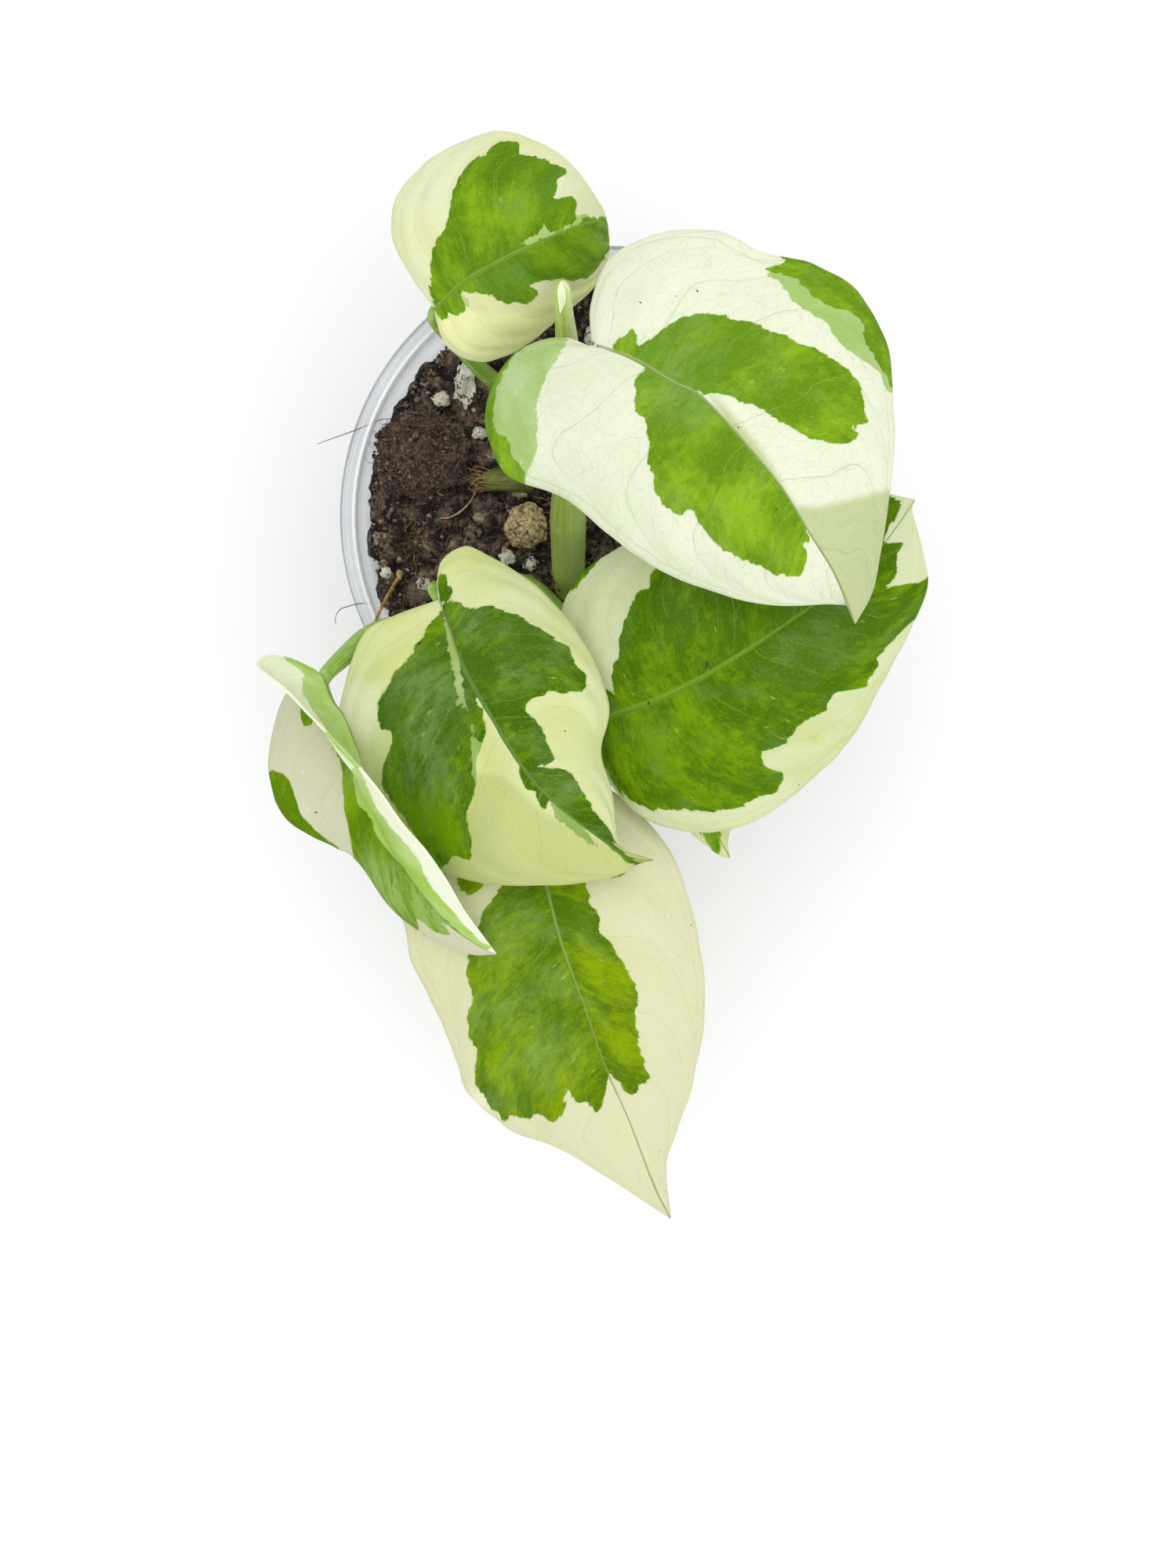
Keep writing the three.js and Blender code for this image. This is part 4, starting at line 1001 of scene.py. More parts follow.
    def ribbed(self, colour):
        """The rib's stripe, widest at the base, with a fine dark line of painted shade along its fold.
        """
        from_rib = self.math("DIVIDE", self.math("ABSOLUTE", self.out), self.rib_mm)
        stripe = self.ramp(self.total(from_rib, self.times(self.streaks, 0.5)), 1.25, 0.75)
        tone = self.mix(self.green, linear(RIB_ON_CREAM), linear(self.look["rib"]))
        colour = self.mix(self.times(stripe, 0.75), colour, tone)
        # Painted shade: a fine dark line beside the rib, as shade in its groove
        aside, strength = self.look["painted_rib_shade"]
        away = self.math("ABSOLUTE", self.total(self.out, self.times(self.rib_mm, aside)))
        painted_rib_shade = self.ramp(self.math("DIVIDE", away, self.rib_mm), 0.6, 0.1)
        return self.over(colour, self.times(painted_rib_shade, strength), RIB_PAINTED_SHADE)


def blade_material(name, look, seed):
    """Cream blade with green and pale markings, fine veins, a rib stripe and soft gloss."""
    s = BladeShade(name, look, seed)
    colour, veins = s.veined(s.flecked(s.marked()))
    colour = s.ribbed(colour)
    # The underside is paler and duller
    colour = s.over(colour, s.times(s.under, 0.08), UNDERSIDE)
    pores = s.noise(s.place_mm(), 7.0, 2.0)
    height = s.total(s.times(veins, -0.3), s.times(s.grain, 0.9), s.times(pores, 0.3))
    normal = s.bump(height, 0.07, 0.9)
    skin = s.surface(colour, s.ramp(s.grain, 0.3, 0.7, 0.4, 0.5), 0.06, normal)
    lit = s.mix(0.5, colour, LIGHT_THROUGH, "MULTIPLY")
    through = s.node("ShaderNodeBsdfTranslucent", {"Color": lit, "Normal": normal})
    return s.finish(s.blend_shaders(0.2, skin, through.outputs[0]))


def stalk_material(name, side=0.0, slit=0.0, foot=None):
    """Green stalk with fine stripes along it.

    The attribute stalk_place is the share along it and the cosine and sine of the turn round it.
    The side, 1 or -1, is the one where it turns lighter. A slit is a pale lens on the upper side,
    as where a rolled leaf opens. A foot is a colour that it takes low down; the vine's is paler,
    painted light against the shade low in the pot.
    """
    base, light, dark = STEM_COLOURS[name]
    s = Shade(name)
    share, upper, aside = s.parts(s.attribute("stalk_place"))
    stripes = s.noise(s.join(upper, aside, s.times(share, 1.2)), 3.2, 3.0, 0.6)
    fine = s.noise(s.join(s.times(upper, 9.0), s.times(aside, 9.0), s.times(share, 2.0)), 1.0)
    colour = s.over(linear(dark), s.ramp(stripes, 0.3, 0.7), base)
    colour = s.over(colour, s.ramp(fine, 0.42, 0.7, 0.0, 0.35), light)
    # Painted light: a paler colour low down, against the shade inside the pot
    if foot:
        colour = s.over(colour, s.ramp(share, 0.6, 0.35, 0.0, 0.85), foot)
    mottle = s.noise(s.place_mm(), 0.5, 4.0)
    colour = s.over(colour, s.ramp(mottle, 0.5, 0.75, 0.0, 0.45), light)
    if side:
        colour = s.over(colour, s.ramp(s.times(aside, side), -0.4, 0.9, 0.0, 0.8), light)
    if slit:
        # The slit is a lens that starts left of the middle and widens towards the tip
        off = s.math("ABSOLUTE", s.total(aside, s.ramp(share, 0.6, 0.85, 0.5, 0.1)))
        beyond = s.math("SUBTRACT", off, s.ramp(share, 0.58, 0.86, -0.05, slit))
        above = s.ramp(upper, 0.0, 0.2)
        opened = s.times(above, s.ramp(share, 0.56, 0.64))
        edge = s.ramp(s.math("ABSOLUTE", beyond), 0.16, 0.02, 0.0, 0.5)
        colour = s.over(colour, s.times(opened, edge), SLIT_EDGE)
        colour = s.over(colour, s.times(above, s.ramp(beyond, 0.03, -0.06)), SLIT_INSIDE)
    normal = s.bump(s.total(fine, s.noise(s.place_mm(), 6.0)), 0.05, 0.7)
    return s.finish(s.surface(colour, 0.45, 0.3, normal))


def crumb_material(name):
    """Crumbly organic matter; the tone attribute shifts its colour, at random for each crumb,
    and in the mix body partly as painted shade that darkens the pits.
    """
    darkest, middle, lightest, scale = CRUMB_COLOURS[name]
    s = Shade(name)
    tone = s.attribute("tone", "Fac")
    where = s.place_mm()
    grain = s.noise(where, scale, 6.0, 0.75)
    fibre = s.noise(s.scaled(where, (1.0, 5.0, 2.0)), 0.8, 4.0, 0.7)
    level = s.total(s.times(grain, 0.9), s.times(tone, 0.45), s.times(fibre, 0.4))
    colour = s.over(linear(darkest), s.ramp(level, 0.66, 0.98), middle)
    colour = s.over(colour, s.ramp(level, 0.94, 1.2), lightest)
    return s.finish(s.surface(colour, 0.75, 0.3, s.bump(s.total(grain, fibre), 0.35, 1.0)))


def perlite_material():
    """White grains with pits and smears of dirt."""
    s = Shade("perlite")
    where = s.place_mm()
    pits = s.cells(where, 1.8)
    dirt = s.noise(where, 0.8, 5.0, 0.65)
    cloud = s.noise(where, 0.5, 3.0)
    colour = s.over(linear(PERLITE_GREY), s.ramp(cloud, 0.35, 0.65), PERLITE_WHITE)
    colour = s.over(colour, s.ramp(pits, 0.26, 0.1, 0.0, 0.5), PERLITE_PIT)
    colour = s.over(colour, s.ramp(dirt, 0.55, 0.6), PERLITE_DIRT)
    normal = s.bump(s.total(s.times(pits, 0.5), dirt), 0.25, 0.8)
    return s.finish(s.surface(colour, 0.8, 0.3, normal))


def clay_material():
    """Porous tan clay with darker blotches."""
    s = Shade("baked_clay")
    where = s.place_mm()
    pores = s.cells(where, 0.8)
    grain = s.noise(where, 1.3, 5.0, 0.7)
    colour = s.over(linear(CLAY_BROWN), s.ramp(grain, 0.38, 0.6), CLAY_TAN)
    blotch = s.noise(where, 0.9, 4.0, 0.65)
    colour = s.over(colour, s.ramp(blotch, 0.46, 0.36), CLAY_BLOTCH)
    colour = s.over(colour, s.ramp(pores, 0.3, 0.14, 0.0, 0.8), CLAY_PORE)
    normal = s.bump(s.total(pores, s.times(grain, 0.5)), 0.4, 0.9)
    return s.finish(s.surface(colour, 0.85, 0.3, normal))


def fibre_material(name):
    """Dry fibre; each strand's tone attribute shifts its colour."""
    base, dark, light = FIBRE_COLOURS[name]
    s = Shade(name)
    where = s.place_mm()
    tone = s.attribute("tone", "Fac")
    grain = s.noise(where, 1.1, 4.0, 0.65)
    level = s.total(grain, s.math("MULTIPLY_ADD", tone, 0.5, -0.25))
    colour = s.over(linear(dark), s.ramp(level, 0.3, 0.55), base)
    colour = s.over(colour, s.ramp(level, 0.55, 0.85), light)
    return s.finish(s.surface(colour, 0.7, 0.3, s.bump(grain, 0.12, 0.8)))


def clear_material():
    """Thin clear plastic: milky in the thick lip and at a slant, elsewhere mostly see-through.

    The lip's outer edge has painted shade and its inner edge a painted highlight, as where
    thick plastic bends light.
    """
    s = Shade("clear_plastic")
    where = s.place_mm()
    x, y, height = s.parts(where)
    flat = s.node("ShaderNodeVectorMath", {0: s.join(x, y, 0.0)}, operation="LENGTH")
    radius = flat.outputs["Value"]
    haze = s.noise(where, 0.05, 3.0)
    under_lip = POT_HEIGHT_MM - LIP_DEPTH_MM
    lip = s.ramp(height, under_lip - 0.4, under_lip)
    floor = s.ramp(height, FLOOR_MM + 2.0, FLOOR_MM)
    slant = s.node("ShaderNodeLayerWeight", {"Blend": 0.3}).outputs["Facing"]
    outer_edge = s.times(lip, s.ramp(radius, RIM_RADIUS_MM - 0.3, RIM_RADIUS_MM - 0.1))
    from_inner = s.math("SUBTRACT", radius, RIM_RADIUS_MM - LIP_WIDTH_MM + 0.35)
    inner_edge = s.times(lip, s.ramp(s.math("ABSOLUTE", from_inner), 0.35, 0.15))
    thick = s.math("MAXIMUM", lip, s.times(floor, 0.5))
    milky = s.math("MULTIPLY_ADD", thick, 0.3, s.ramp(slant, 0.1, 0.95, 0.03, 0.5))
    milky = s.total(milky, s.ramp(haze, 0.4, 0.7, 0.0, 0.025))
    edges = s.times(s.total(outer_edge, inner_edge), 0.35)
    milky = s.math("ADD", milky, edges, clamp=True)
    tint = s.over(linear(PLASTIC_GREY), s.ramp(haze, 0.35, 0.65), PLASTIC_WHITE)
    tint = s.over(tint, outer_edge, LIP_PAINTED_SHADE)
    tint = s.over(tint, inner_edge, LIP_PAINTED_HIGHLIGHT)
    clear = s.node("ShaderNodeBsdfTransparent", {"Color": (0.95, 0.955, 0.965, 1.0)})
    gloss = s.surface(tint, 0.16, 0.6)
    return s.finish(s.blend_shaders(milky, clear.outputs[0], gloss))


# Leaves
def blade_columns():
    """Shares from the right margin, -1, to the left, 1, close together at the rib."""
    half = np.concatenate([RIB_STEPS, np.linspace(RIB_STEPS[-1], 1, 23)[1:]])
    return np.concatenate([-half[::-1], half[1:]])


def blade_middle(leaf, along, across):
    """The blade's middle surface over a grid; across runs from -1, right, to 1, left."""
    rib_share = along ** VEIN_SWEEP
    rib = leaf["mid_path"].at(rib_share)[:, None]
    ahead = leaf["mid_path"].ahead(rib_share)[:, None]
    width = np.sin(math.pi * np.minimum(1, along * 1.1))
    ripples = {side: np.array([1 + leaf["ripple"][0 if side > 0 else 1] * fade * noise.fractal(
        Vector((share * 14, 5 * side, leaf["bow"][0])), 0.8, 2.0, 2)
        for share, fade in zip(along, width)])[:, None, None] for side in (-1, 1)}
    rows = []
    for value in across:
        side = 1 if value > 0 else -1
        margin = leaf["left_path" if side > 0 else "right_path"].at(along)[:, None]
        reach = (margin - rib) * ripples[side]
        upward = unit(np.cross(ahead, reach) * side)
        s = abs(value)
        bow = leaf["bow"][0 if side > 0 else 1] * 4 * s * (1 - s) * width
        height, waves = leaf["wave"]
        wave = height * s * s * width * np.sin(FULL_TURN * waves * along + side)
        rows.append((rib + reach * s + upward * (bow + wave)[:, None, None])[:, 0])
    return np.stack(rows, 1)


def grid_normals(grid, face):
    """Normals of the blade's upper side; face is -1 for a leaf that shows its underside."""
    ahead = np.gradient(grid, axis=0)
    over = np.gradient(grid, axis=1)
    normals = unit(np.cross(ahead, over)) * face
    normals[-1] = normals[-2]
    return normals


def outward(points, faces):
    """The faces of a closed body, turned so that they point out."""
    p = np.asarray(points, float)
    volume = 0.0
    for face in faces:
        a = p[face[0]]
        for i, j in zip(face[1:], face[2:]):
            volume += np.dot(a, np.cross(p[i], p[j]))
    return faces if volume > 0 else [tuple(reversed(face)) for face in faces]


def vein_phase(along, across):
    """A whole number on each lateral vein, which sweeps out and then on beside the margin."""
    a = across[None]
    swept = along[:, None] - 0.1 * a ** 2 - 0.2 * a ** 6 + 0.012 * np.sin(9 * a + 2)
    return swept * VEIN_PAIRS + np.where(across[None] > 0, 0.18, -0.12)


def marks_of(name, grid, across):
    """Distance inside the green, the pale and the painted shading over the grid, in millimetres."""
    pixels = photo_pixels(grid).reshape(-1, 2)
    to_mm = ((CAMERA_MM[2] - grid[..., 2]) / FOCAL_PX).ravel()
    half = np.broadcast_to(np.sign(across)[None], grid.shape[:2]).ravel()
    on_side = {"both": True, "left": half >= 0, "right": half <= 0}
    inside = {tone: np.full(len(pixels), OUTSIDE_MM) for tone in ("green", "pale", "light", "painted_shading")}
    for tone, side, outline in MARKS[name]:
        found = np.where(on_side[side], inside_by(pixels, outline) * to_mm, OUTSIDE_MM)
        inside[tone] = np.maximum(inside[tone], found)
    # A light area is a pale one that lies within the green
    green = np.minimum(inside["green"], -inside["light"])
    pale = np.maximum(inside["pale"], inside["light"] + 0.8)
    return [distance.reshape(grid.shape[:2]) for distance in (green, pale, inside["painted_shading"])]


def soft_spots(spots, grid):
    """The sum of soft round spots, given in photo pixels, over the grid."""
    pixels = photo_pixels(grid)
    value = np.zeros(grid.shape[:2])
    for x, y, radius, strength in spots:
        away = (pixels[..., 0] - x) ** 2 + (pixels[..., 1] - y) ** 2
        value += strength * np.exp(-away / radius ** 2)
    return value


def stalk_route(leaf, rib_up):
    """The stalk from its foot to under the blade, with its radii, as in the solids."""
    points = [np.array(p, float) for p in leaf["stalk"]]
    radii = [leaf["stalk_radius"] * (1 if i == 0 else 1.1 - 0.06 * i) for i in range(len(points))]
    radii[-1] *= 0.9
    radii = [max(radius, leaf["stalk_radius"] * leaf["stalk_end"]) for radius in radii]
    if not leaf["tuck"]:
        return points + [leaf["mid_path"].at(0.012)], radii + [radii[-1] * 0.7]
    points[-1] -= (0, 0, 0.4)
    for reach, share in ((0.03, 0.6), (0.1, 0.35)):
        radius = leaf["stalk_radius"] * share
        points.append(leaf["mid_path"].at(reach) - rib_up(reach) * (radius + BLADE_MM))
        radii.append(radius)
    return points, radii


def stalk_tube(leaf, rib_up):
    """The stalk with a shallow channel above: its points, faces and stalk_place."""
    def channel(share, turn):
        return 1 - 0.12 * math.exp(-(min(turn, FULL_TURN - turn) / 0.5) ** 2)

    route, radii = stalk_route(leaf, rib_up)
    points, faces, share, turn = sweep(route, radii, 18, 70, channel)
    return points, outward(points, faces), np.stack([share, np.cos(turn), np.sin(turn)], -1)


def blade_lift(leaf, grid, width, swell, along, across, seed):
    """How far the blade rises at the swells between its veins, and by small unevenness."""
    inner = np.sin(math.pi * np.clip(np.abs(across), 0, 1))[None] ** 0.7
    uneven = np.array([[noise.noise(Vector(p) * 0.13 + Vector((seed, 0, 0))) for p in row]
                       for row in grid])
    return end_fade(along) * (0.6 * leaf["swells"] * (swell - 0.5) * inner * (0.8 + uneven)
                              + 0.45 * uneven * np.minimum(1, width / 4))


def end_fade(along):
    """A column that runs from nothing at the blade's base over 1 to nothing at its tip."""
    return np.sin(math.pi * np.clip(along * 1.02, 0, 1))[:, None] ** 0.6


def blade_thickness(along, across):
    thick = BLADE_MM + (MARGIN_MM - BLADE_MM) * np.abs(across)[None] ** 1.5
    return thick * np.minimum(1, 0.35 + (1 - along[:, None]) * 12)


def rib_ridge(leaf, along, width):
    """The rib's round ridge below the blade, which thins out towards the tip."""
    reach = (along ** VEIN_SWEEP)[:, None]
    share = np.clip(reach / KEEL_END, 0, 1)
    keel = leaf["stalk_radius"] * 0.8 * (1 - share) + KEEL_TIP_MM * share
    keel = np.where(reach < KEEL_END, keel, KEEL_TIP_MM * (1 - along[:, None]) * 3)
    round_by = np.sqrt(np.clip(1 - (width / (1.25 * keel + 1e-6)) ** 2, 0, 1))
    return leaf["ridge"] * keel * round_by * np.minimum(1, reach / RIDGE_START)


def blade_rings(grid, top, low, thick):
    """One closed skin: over the top from right to left, round the margin and back below."""
    left = grid[:, -1] + unit(grid[:, -1] - grid[:, -2]) * thick[:, -1:] * 0.45
    right = grid[:, 0] + unit(grid[:, 0] - grid[:, 1]) * thick[:, :1] * 0.45
    return np.concatenate([top, left[:, None], low[:, ::-1], right[:, None]], 1)


def blade_faces(rows, columns):
    """Faces between the skin's rings, to the tip and across the base."""
    around = 2 * columns + 2
    tip = rows * around
    last = tip - around
    faces = ring_faces(rows - 1, around)
    faces += [(last + j, last + (j + 1) % around, tip) for j in range(around)]
    faces += [(j + 1, j, 2 * columns - j, 2 * columns - j - 1) for j in range(columns - 1)]
    return faces + [(columns, columns - 1, columns + 1), (0, around - 1, around - 2)]


def blade_attributes(name, leaf, grid, width, swell, phase, along, across):
    """What blade_material reads, for each point of the skin and for the tip."""
    shape = grid.shape[:2]
    columns = len(across)
    order = np.concatenate([np.arange(columns), [columns - 1], np.arange(columns)[::-1], [0]])

    def skin(values):
        laid = np.broadcast_to(values, shape)[:, order]
        return np.append(laid.ravel(), laid[-1].mean())

    run = (along[:, None] - 0.1 * across[None] ** 2) * leaf["mid_path"].length
    signed = width * np.sign(across)[None]
    below = np.concatenate([np.zeros(columns), [0.5], np.ones(columns), [0.5]])
    under = np.append(np.tile(below, shape[0]), 0.5)
    rib_width = (leaf["rib_mm"] * (1 - along ** VEIN_SWEEP) ** 1.3 + 0.1)[:, None]
    glow = soft_spots(GLOWS_AND_PAINTED_LIGHT[name], grid)
    sheen = soft_spots(PAINTED_SHEENS[name], grid)
    reach = np.abs(across)[None]
    return {
        "leaf_place": np.stack([skin(run), skin(signed), under], -1),
        "leaf_marks_and_painted_shading": np.stack([skin(by) for by in marks_of(name, grid, across)], -1),
        "leaf_tone_and_painted_light": np.stack([skin(glow), skin(sheen), skin(phase)], -1),
        "leaf_form": np.stack([skin(rib_width), skin(swell), skin(reach)], -1),
    }


def build_leaf(name, leaf, seed):
    """Builds a leaf with its stalk, and returns the points of its upper side."""
    for part in ("mid", "left", "right"):
        leaf[part + "_path"] = Path(leaf[part])
    across = blade_columns()
    along = np.linspace(0, 0.996, BLADE_ROWS + 1)
    grid = blade_middle(leaf, along, across)
    normals = grid_normals(grid, leaf["face"])
    centre = len(across) // 2
    phase = vein_phase(along, across)
    swell = np.sin(math.pi * phase) ** 2
    width = np.linalg.norm(grid - grid[:, centre:centre + 1], axis=2)
    grid = grid + normals * blade_lift(leaf, grid, width, swell, along, across, seed)[..., None]
    normals = grid_normals(grid, leaf["face"])
    groove = 0.24 * end_fade(along) * np.exp(-(width / 0.4) ** 2) * (1 - 0.6 * along[:, None])
    thick = blade_thickness(along, across)
    top = grid + normals * (thick / 2 - groove)[..., None]
    low = grid - normals * (thick / 2 + rib_ridge(leaf, along, width))[..., None]
    rings = blade_rings(grid, top, low, thick)
    skin = np.vstack([rings.reshape(-1, 3), leaf["mid_path"].at(1.0)[None]])
    faces = outward(skin, blade_faces(len(rings), len(across)))
    vectors = blade_attributes(name, leaf, grid, width, swell, phase, along, across)

    def rib_up(reach):
        parts = [np.interp(reach, along ** VEIN_SWEEP, normals[:, centre, k]) for k in range(3)]
        return unit(np.stack(parts, -1))

    stalk, stalk_faces, stalk_place = stalk_tube(leaf, rib_up)
    blank = np.zeros((len(stalk), 3))
    vectors = {label: np.vstack([values, blank]) for label, values in vectors.items()}
    vectors["leaf_form"][len(skin):] = 1
    vectors["stalk_place"] = np.vstack([np.zeros((len(skin), 3)), stalk_place])
    slots = [0] * len(faces) + [1] * len(stalk_faces)
    faces += [tuple(k + len(skin) for k in face) for face in stalk_faces]
    materials = [blade_material(name + "_blade", leaf, float(seed)), STALK_GREEN]
    piece = add_mesh(name + "_grown", np.vstack([skin, stalk]), faces, materials, slots,
                     vectors=vectors)
    place(piece, "leaf", name)
    return top.reshape(-1, 3)


# Pot
def pot_profile():
    """Radius and height round the wall's section, from the outer foot over the lip to inside."""
    rim, height, foot = RIM_RADIUS_MM, POT_HEIGHT_MM, BASE_RADIUS_MM
    collar = height - COLLAR_DEPTH_MM
    lip_inner = rim - LIP_WIDTH_MM
    collar_outer = lip_inner + WALL_MM
    wall_top = collar_outer - COLLAR_STEP_MM - 0.4
    under_lip = height - LIP_DEPTH_MM
    shares = np.linspace(0, 1, 14)[1:]
    outer = [(foot - 1, 0), (foot - 0.3, 0.25), (foot, 1)]
    outer += [(foot + (wall_top - foot) * share, 1 + (collar - 1.8) * share) for share in shares]
    outer += [(wall_top + 0.35, collar - 0.25), (collar_outer - 0.5, collar + 0.3),
              (collar_outer - 0.3, collar + 0.9), (collar_outer - 0.1, collar + 3.5),
              (collar_outer, under_lip - 0.4), (collar_outer + 0.3, under_lip)]
    lip = [(rim - 0.5, under_lip), (rim - 0.12, under_lip + 0.15), (rim, under_lip + 0.6),
           (rim, height - 0.7), (rim - 0.12, height - 0.25), (rim - 0.4, height)]
    # Two fine ring grooves in the lip's flat top
    for middle in (rim - 0.85, rim - 1.6):
        lip += [(middle + 0.16, height), (middle + 0.05, height - 0.14),
                (middle - 0.05, height - 0.14), (middle - 0.16, height)]
    lip += [(lip_inner + 0.6, height), (lip_inner + 0.2, height - 0.15), (lip_inner, height - 0.6)]
    inner = [(lip_inner - 0.1, height - 3), (lip_inner - 0.3, collar + 1.2),
             (lip_inner - 0.7, collar + 0.3), (wall_top - WALL_MM, collar - 0.4)]
    for share in shares:
        r = wall_top + (foot - wall_top) * share
        inner.append((r - WALL_MM, collar - 0.4 + (FLOOR_MM + 0.8 - collar + 0.4) * share))
    inner += [(foot - WALL_MM - 0.2, FLOOR_MM + 0.2), (foot - WALL_MM - 0.8, FLOOR_MM)]
    return outer + lip + inner


def lathe(profile, sides):
    """A closed turned body whose first and last points are joined across the axis.

    It starts a third of a step round, so that no edge of its floor meets a corner of a drill.
    """
    turn = (np.arange(sides) + POT_START_STEP) * FULL_TURN / sides
    points = [[(0.0, 0.0, profile[0][1])], [(0.0, 0.0, profile[-1][1])]]
    for r, z in profile:
        points.append(np.stack([r * np.cos(turn), r * np.sin(turn), np.full(sides, z)], -1))
    gaps = len(profile) - 1
    faces = ring_faces(gaps, sides, 2) + end_fans(sides, 0, 2, 1, 2 + gaps * sides)
    return np.vstack(points), faces


def build_pot():
    points, faces = lathe(pot_profile(), POT_SIDES)
    piece = add_mesh("pot_clear", points, faces, [clear_material()])
    drills = []
    for k in range(DRAIN_HOLES):
        turn = FULL_TURN * k / DRAIN_HOLES
        middle = np.array([DRAIN_CIRCLE_MM * math.cos(turn), DRAIN_CIRCLE_MM * math.sin(turn), 0])
        route = [middle - (0, 0, 3), middle, middle + (0, 0, 3)]
        drill, drill_faces, _, _ = sweep(route, [DRAIN_RADIUS_MM], DRILL_SIDES, 2)
        drills.append(add_mesh(f"drill_{k}", drill, drill_faces, []))
    for drill in drills:
        cut = piece.modifiers.new(drill.name, "BOOLEAN")
        cut.operation = "DIFFERENCE"
        cut.solver = "EXACT"
        cut.object = drill
    apply_modifiers(piece)
    for drill in drills:
        bpy.data.objects.remove(drill)
    sharpen(piece)
    place(piece, "clear_pot", "pot")


def apply_modifiers(piece):
    evaluated = piece.evaluated_get(bpy.context.evaluated_depsgraph_get())
    mesh = bpy.data.meshes.new_from_object(evaluated)
    piece.modifiers.clear()
    piece.data = mesh


def sharpen(piece):
    """Smooth shading with the edges over SHARP_DEGREES left sharp."""
    mesh = piece.data
    mesh.polygons.foreach_set("use_smooth", [True] * len(mesh.polygons))
    limit = math.radians(SHARP_DEGREES)
    made = bmesh.new()
    made.from_mesh(mesh)
    for edge in made.edges:
        edge.smooth = len(edge.link_faces) == 2 and edge.calc_face_angle(0) < limit
    made.to_mesh(mesh)
    made.free()


# Potting mix
def mix_knolls():
    draw = draws(KNOLL_SEED)
    knolls = []
    for _ in range(MIX_KNOLLS):
        turn = FULL_TURN * next(draw)
        out = 40 * math.sqrt(next(draw))
        knolls.append((out * math.cos(turn), out * math.sin(turn), 3.5 + 4 * next(draw),
                       MIX_RELIEF_MM * (2 * next(draw) - 1)))
    return knolls


KNOLLS = mix_knolls()
# Blender seeds noise_vector with the clock otherwise, and the crumbs would move at each run
noise.seed_set(NOISE_SEED)


def mix_height(x, y):
    z = MIX_LEVEL_MM
    for kx, ky, spread, rise in KNOLLS:
        z += rise * math.exp(-((x - kx) ** 2 + (y - ky) ** 2) / spread ** 2)
    return z


def crumbly_height(x, y):
    """The mix's surface with its crumbs and pits."""
    at = Vector((x, y, 0))
    coarse = noise.fractal(at * 0.3, 0.9, 2.1, 4)
    bent = at + 0.9 * noise.noise_vector(at * 0.7)
    lumps = noise.voronoi(bent * 0.5 + Vector((5, 3, 1)))[0]
    grains = noise.voronoi(at * 1.3 + Vector((2, 8, 6)))[0]
    fine = noise.fractal(at * 1.5 + Vector((9, 2, 4)), 0.8, 2.0, 3)
    edge = max(0.0, (math.hypot(x, y) - 36) / 4.5)
    return (mix_height(x, y) - 1.1 + 1.1 * coarse + 1.3 * (0.75 - lumps[0])
            + 0.8 * (0.6 - grains[0]) + 0.35 * fine + 1.4 * edge * (noise.noise(at * 0.25) - 0.4))


def side_dent(at, share):
    """How far the mix stays back from the wall, more unevenly near the top."""
    upper = max(0.0, share - 0.86) / 0.14
    dent = 0.9 * max(0.0, noise.fractal(at * 0.3, 0.9, 2.0, 4)) + 0.25 * noise.noise(at * 1.1) ** 2
    return dent + upper * (max(0.0, 0.5 + 2.6 * noise.fractal(at * 0.22, 0.9, 2.0, 4)) - 0.5)


def mix_rows():
    """Rings of radius, turn and height, up the side and over the top to the middle."""
    turn = np.arange(MIX_SIDES) * FULL_TURN / MIX_SIDES
    foot = BASE_RADIUS_MM - WALL_MM - 0.8 - 0.3
    shoulder_z = POT_HEIGHT_MM - COLLAR_DEPTH_MM - 1.6
    rows = []
    for k in range(MIX_SIDE_ROWS + 1):
        share = k / MIX_SIDE_ROWS
        z = FLOOR_MM + 0.3 + 0.9 * min(1, share * 30) + (shoulder_z - FLOOR_MM - 1.2) * share
        r = foot + min(0.7, share * 20) + (MIX_RADIUS_MM - foot - 0.7) * share
        row = []
        for t in turn:
            at = Vector((r * math.cos(t), r * math.sin(t), z))
            row.append((r - (side_dent(at, share) if k else 0), t, z))
        rows.append(row)
    brim = [r + 0.6 for r, _, _ in rows[-1]]
    for k in range(MIX_RINGS):
        row = []
        for t, outer in zip(turn, brim):
            jitter = 0.25 * noise.noise(Vector((math.cos(t) * 9, math.sin(t) * 9, k)))
            r = outer * (1 - k / MIX_RINGS) + (jitter if k else 0.0)
            row.append((r, t, crumbly_height(r * math.cos(t), r * math.sin(t))))
        rows.append(row)
    return rows


def build_mix(soil):
    rows = mix_rows()
    points = [(0.0, 0.0, FLOOR_MM + 0.3)]
    for row in rows:
        points += [(r * math.cos(t), r * math.sin(t), z) for r, t, z in row]
    points.append((0.0, 0.0, crumbly_height(0, 0)))
    gaps = len(rows) - 1
    faces = ring_faces(gaps, MIX_SIDES, 1)
    faces += end_fans(MIX_SIDES, 0, 1, len(points) - 1, 1 + gaps * MIX_SIDES)
    # Painted shade: the pits are darker than the tops, and the side is mottled
    tones = [0.42 + 0.42 * (z - mix_height(x, y) + 0.4) + 0.5 * noise.noise(Vector((x, y, z)) * 0.5)
             for x, y, z in points]
    for k in range(1 + (MIX_SIDE_ROWS + 1) * MIX_SIDES):
        tones[k] = 0.35 + 1.2 * noise.fractal(Vector(points[k]) * 0.45, 0.8, 2.0, 3)
    piece = add_mesh("mix_body", points, faces, [soil], floats={"tone": np.clip(tones, 0, 1)})
    place(piece, "potting_mix", "soil")


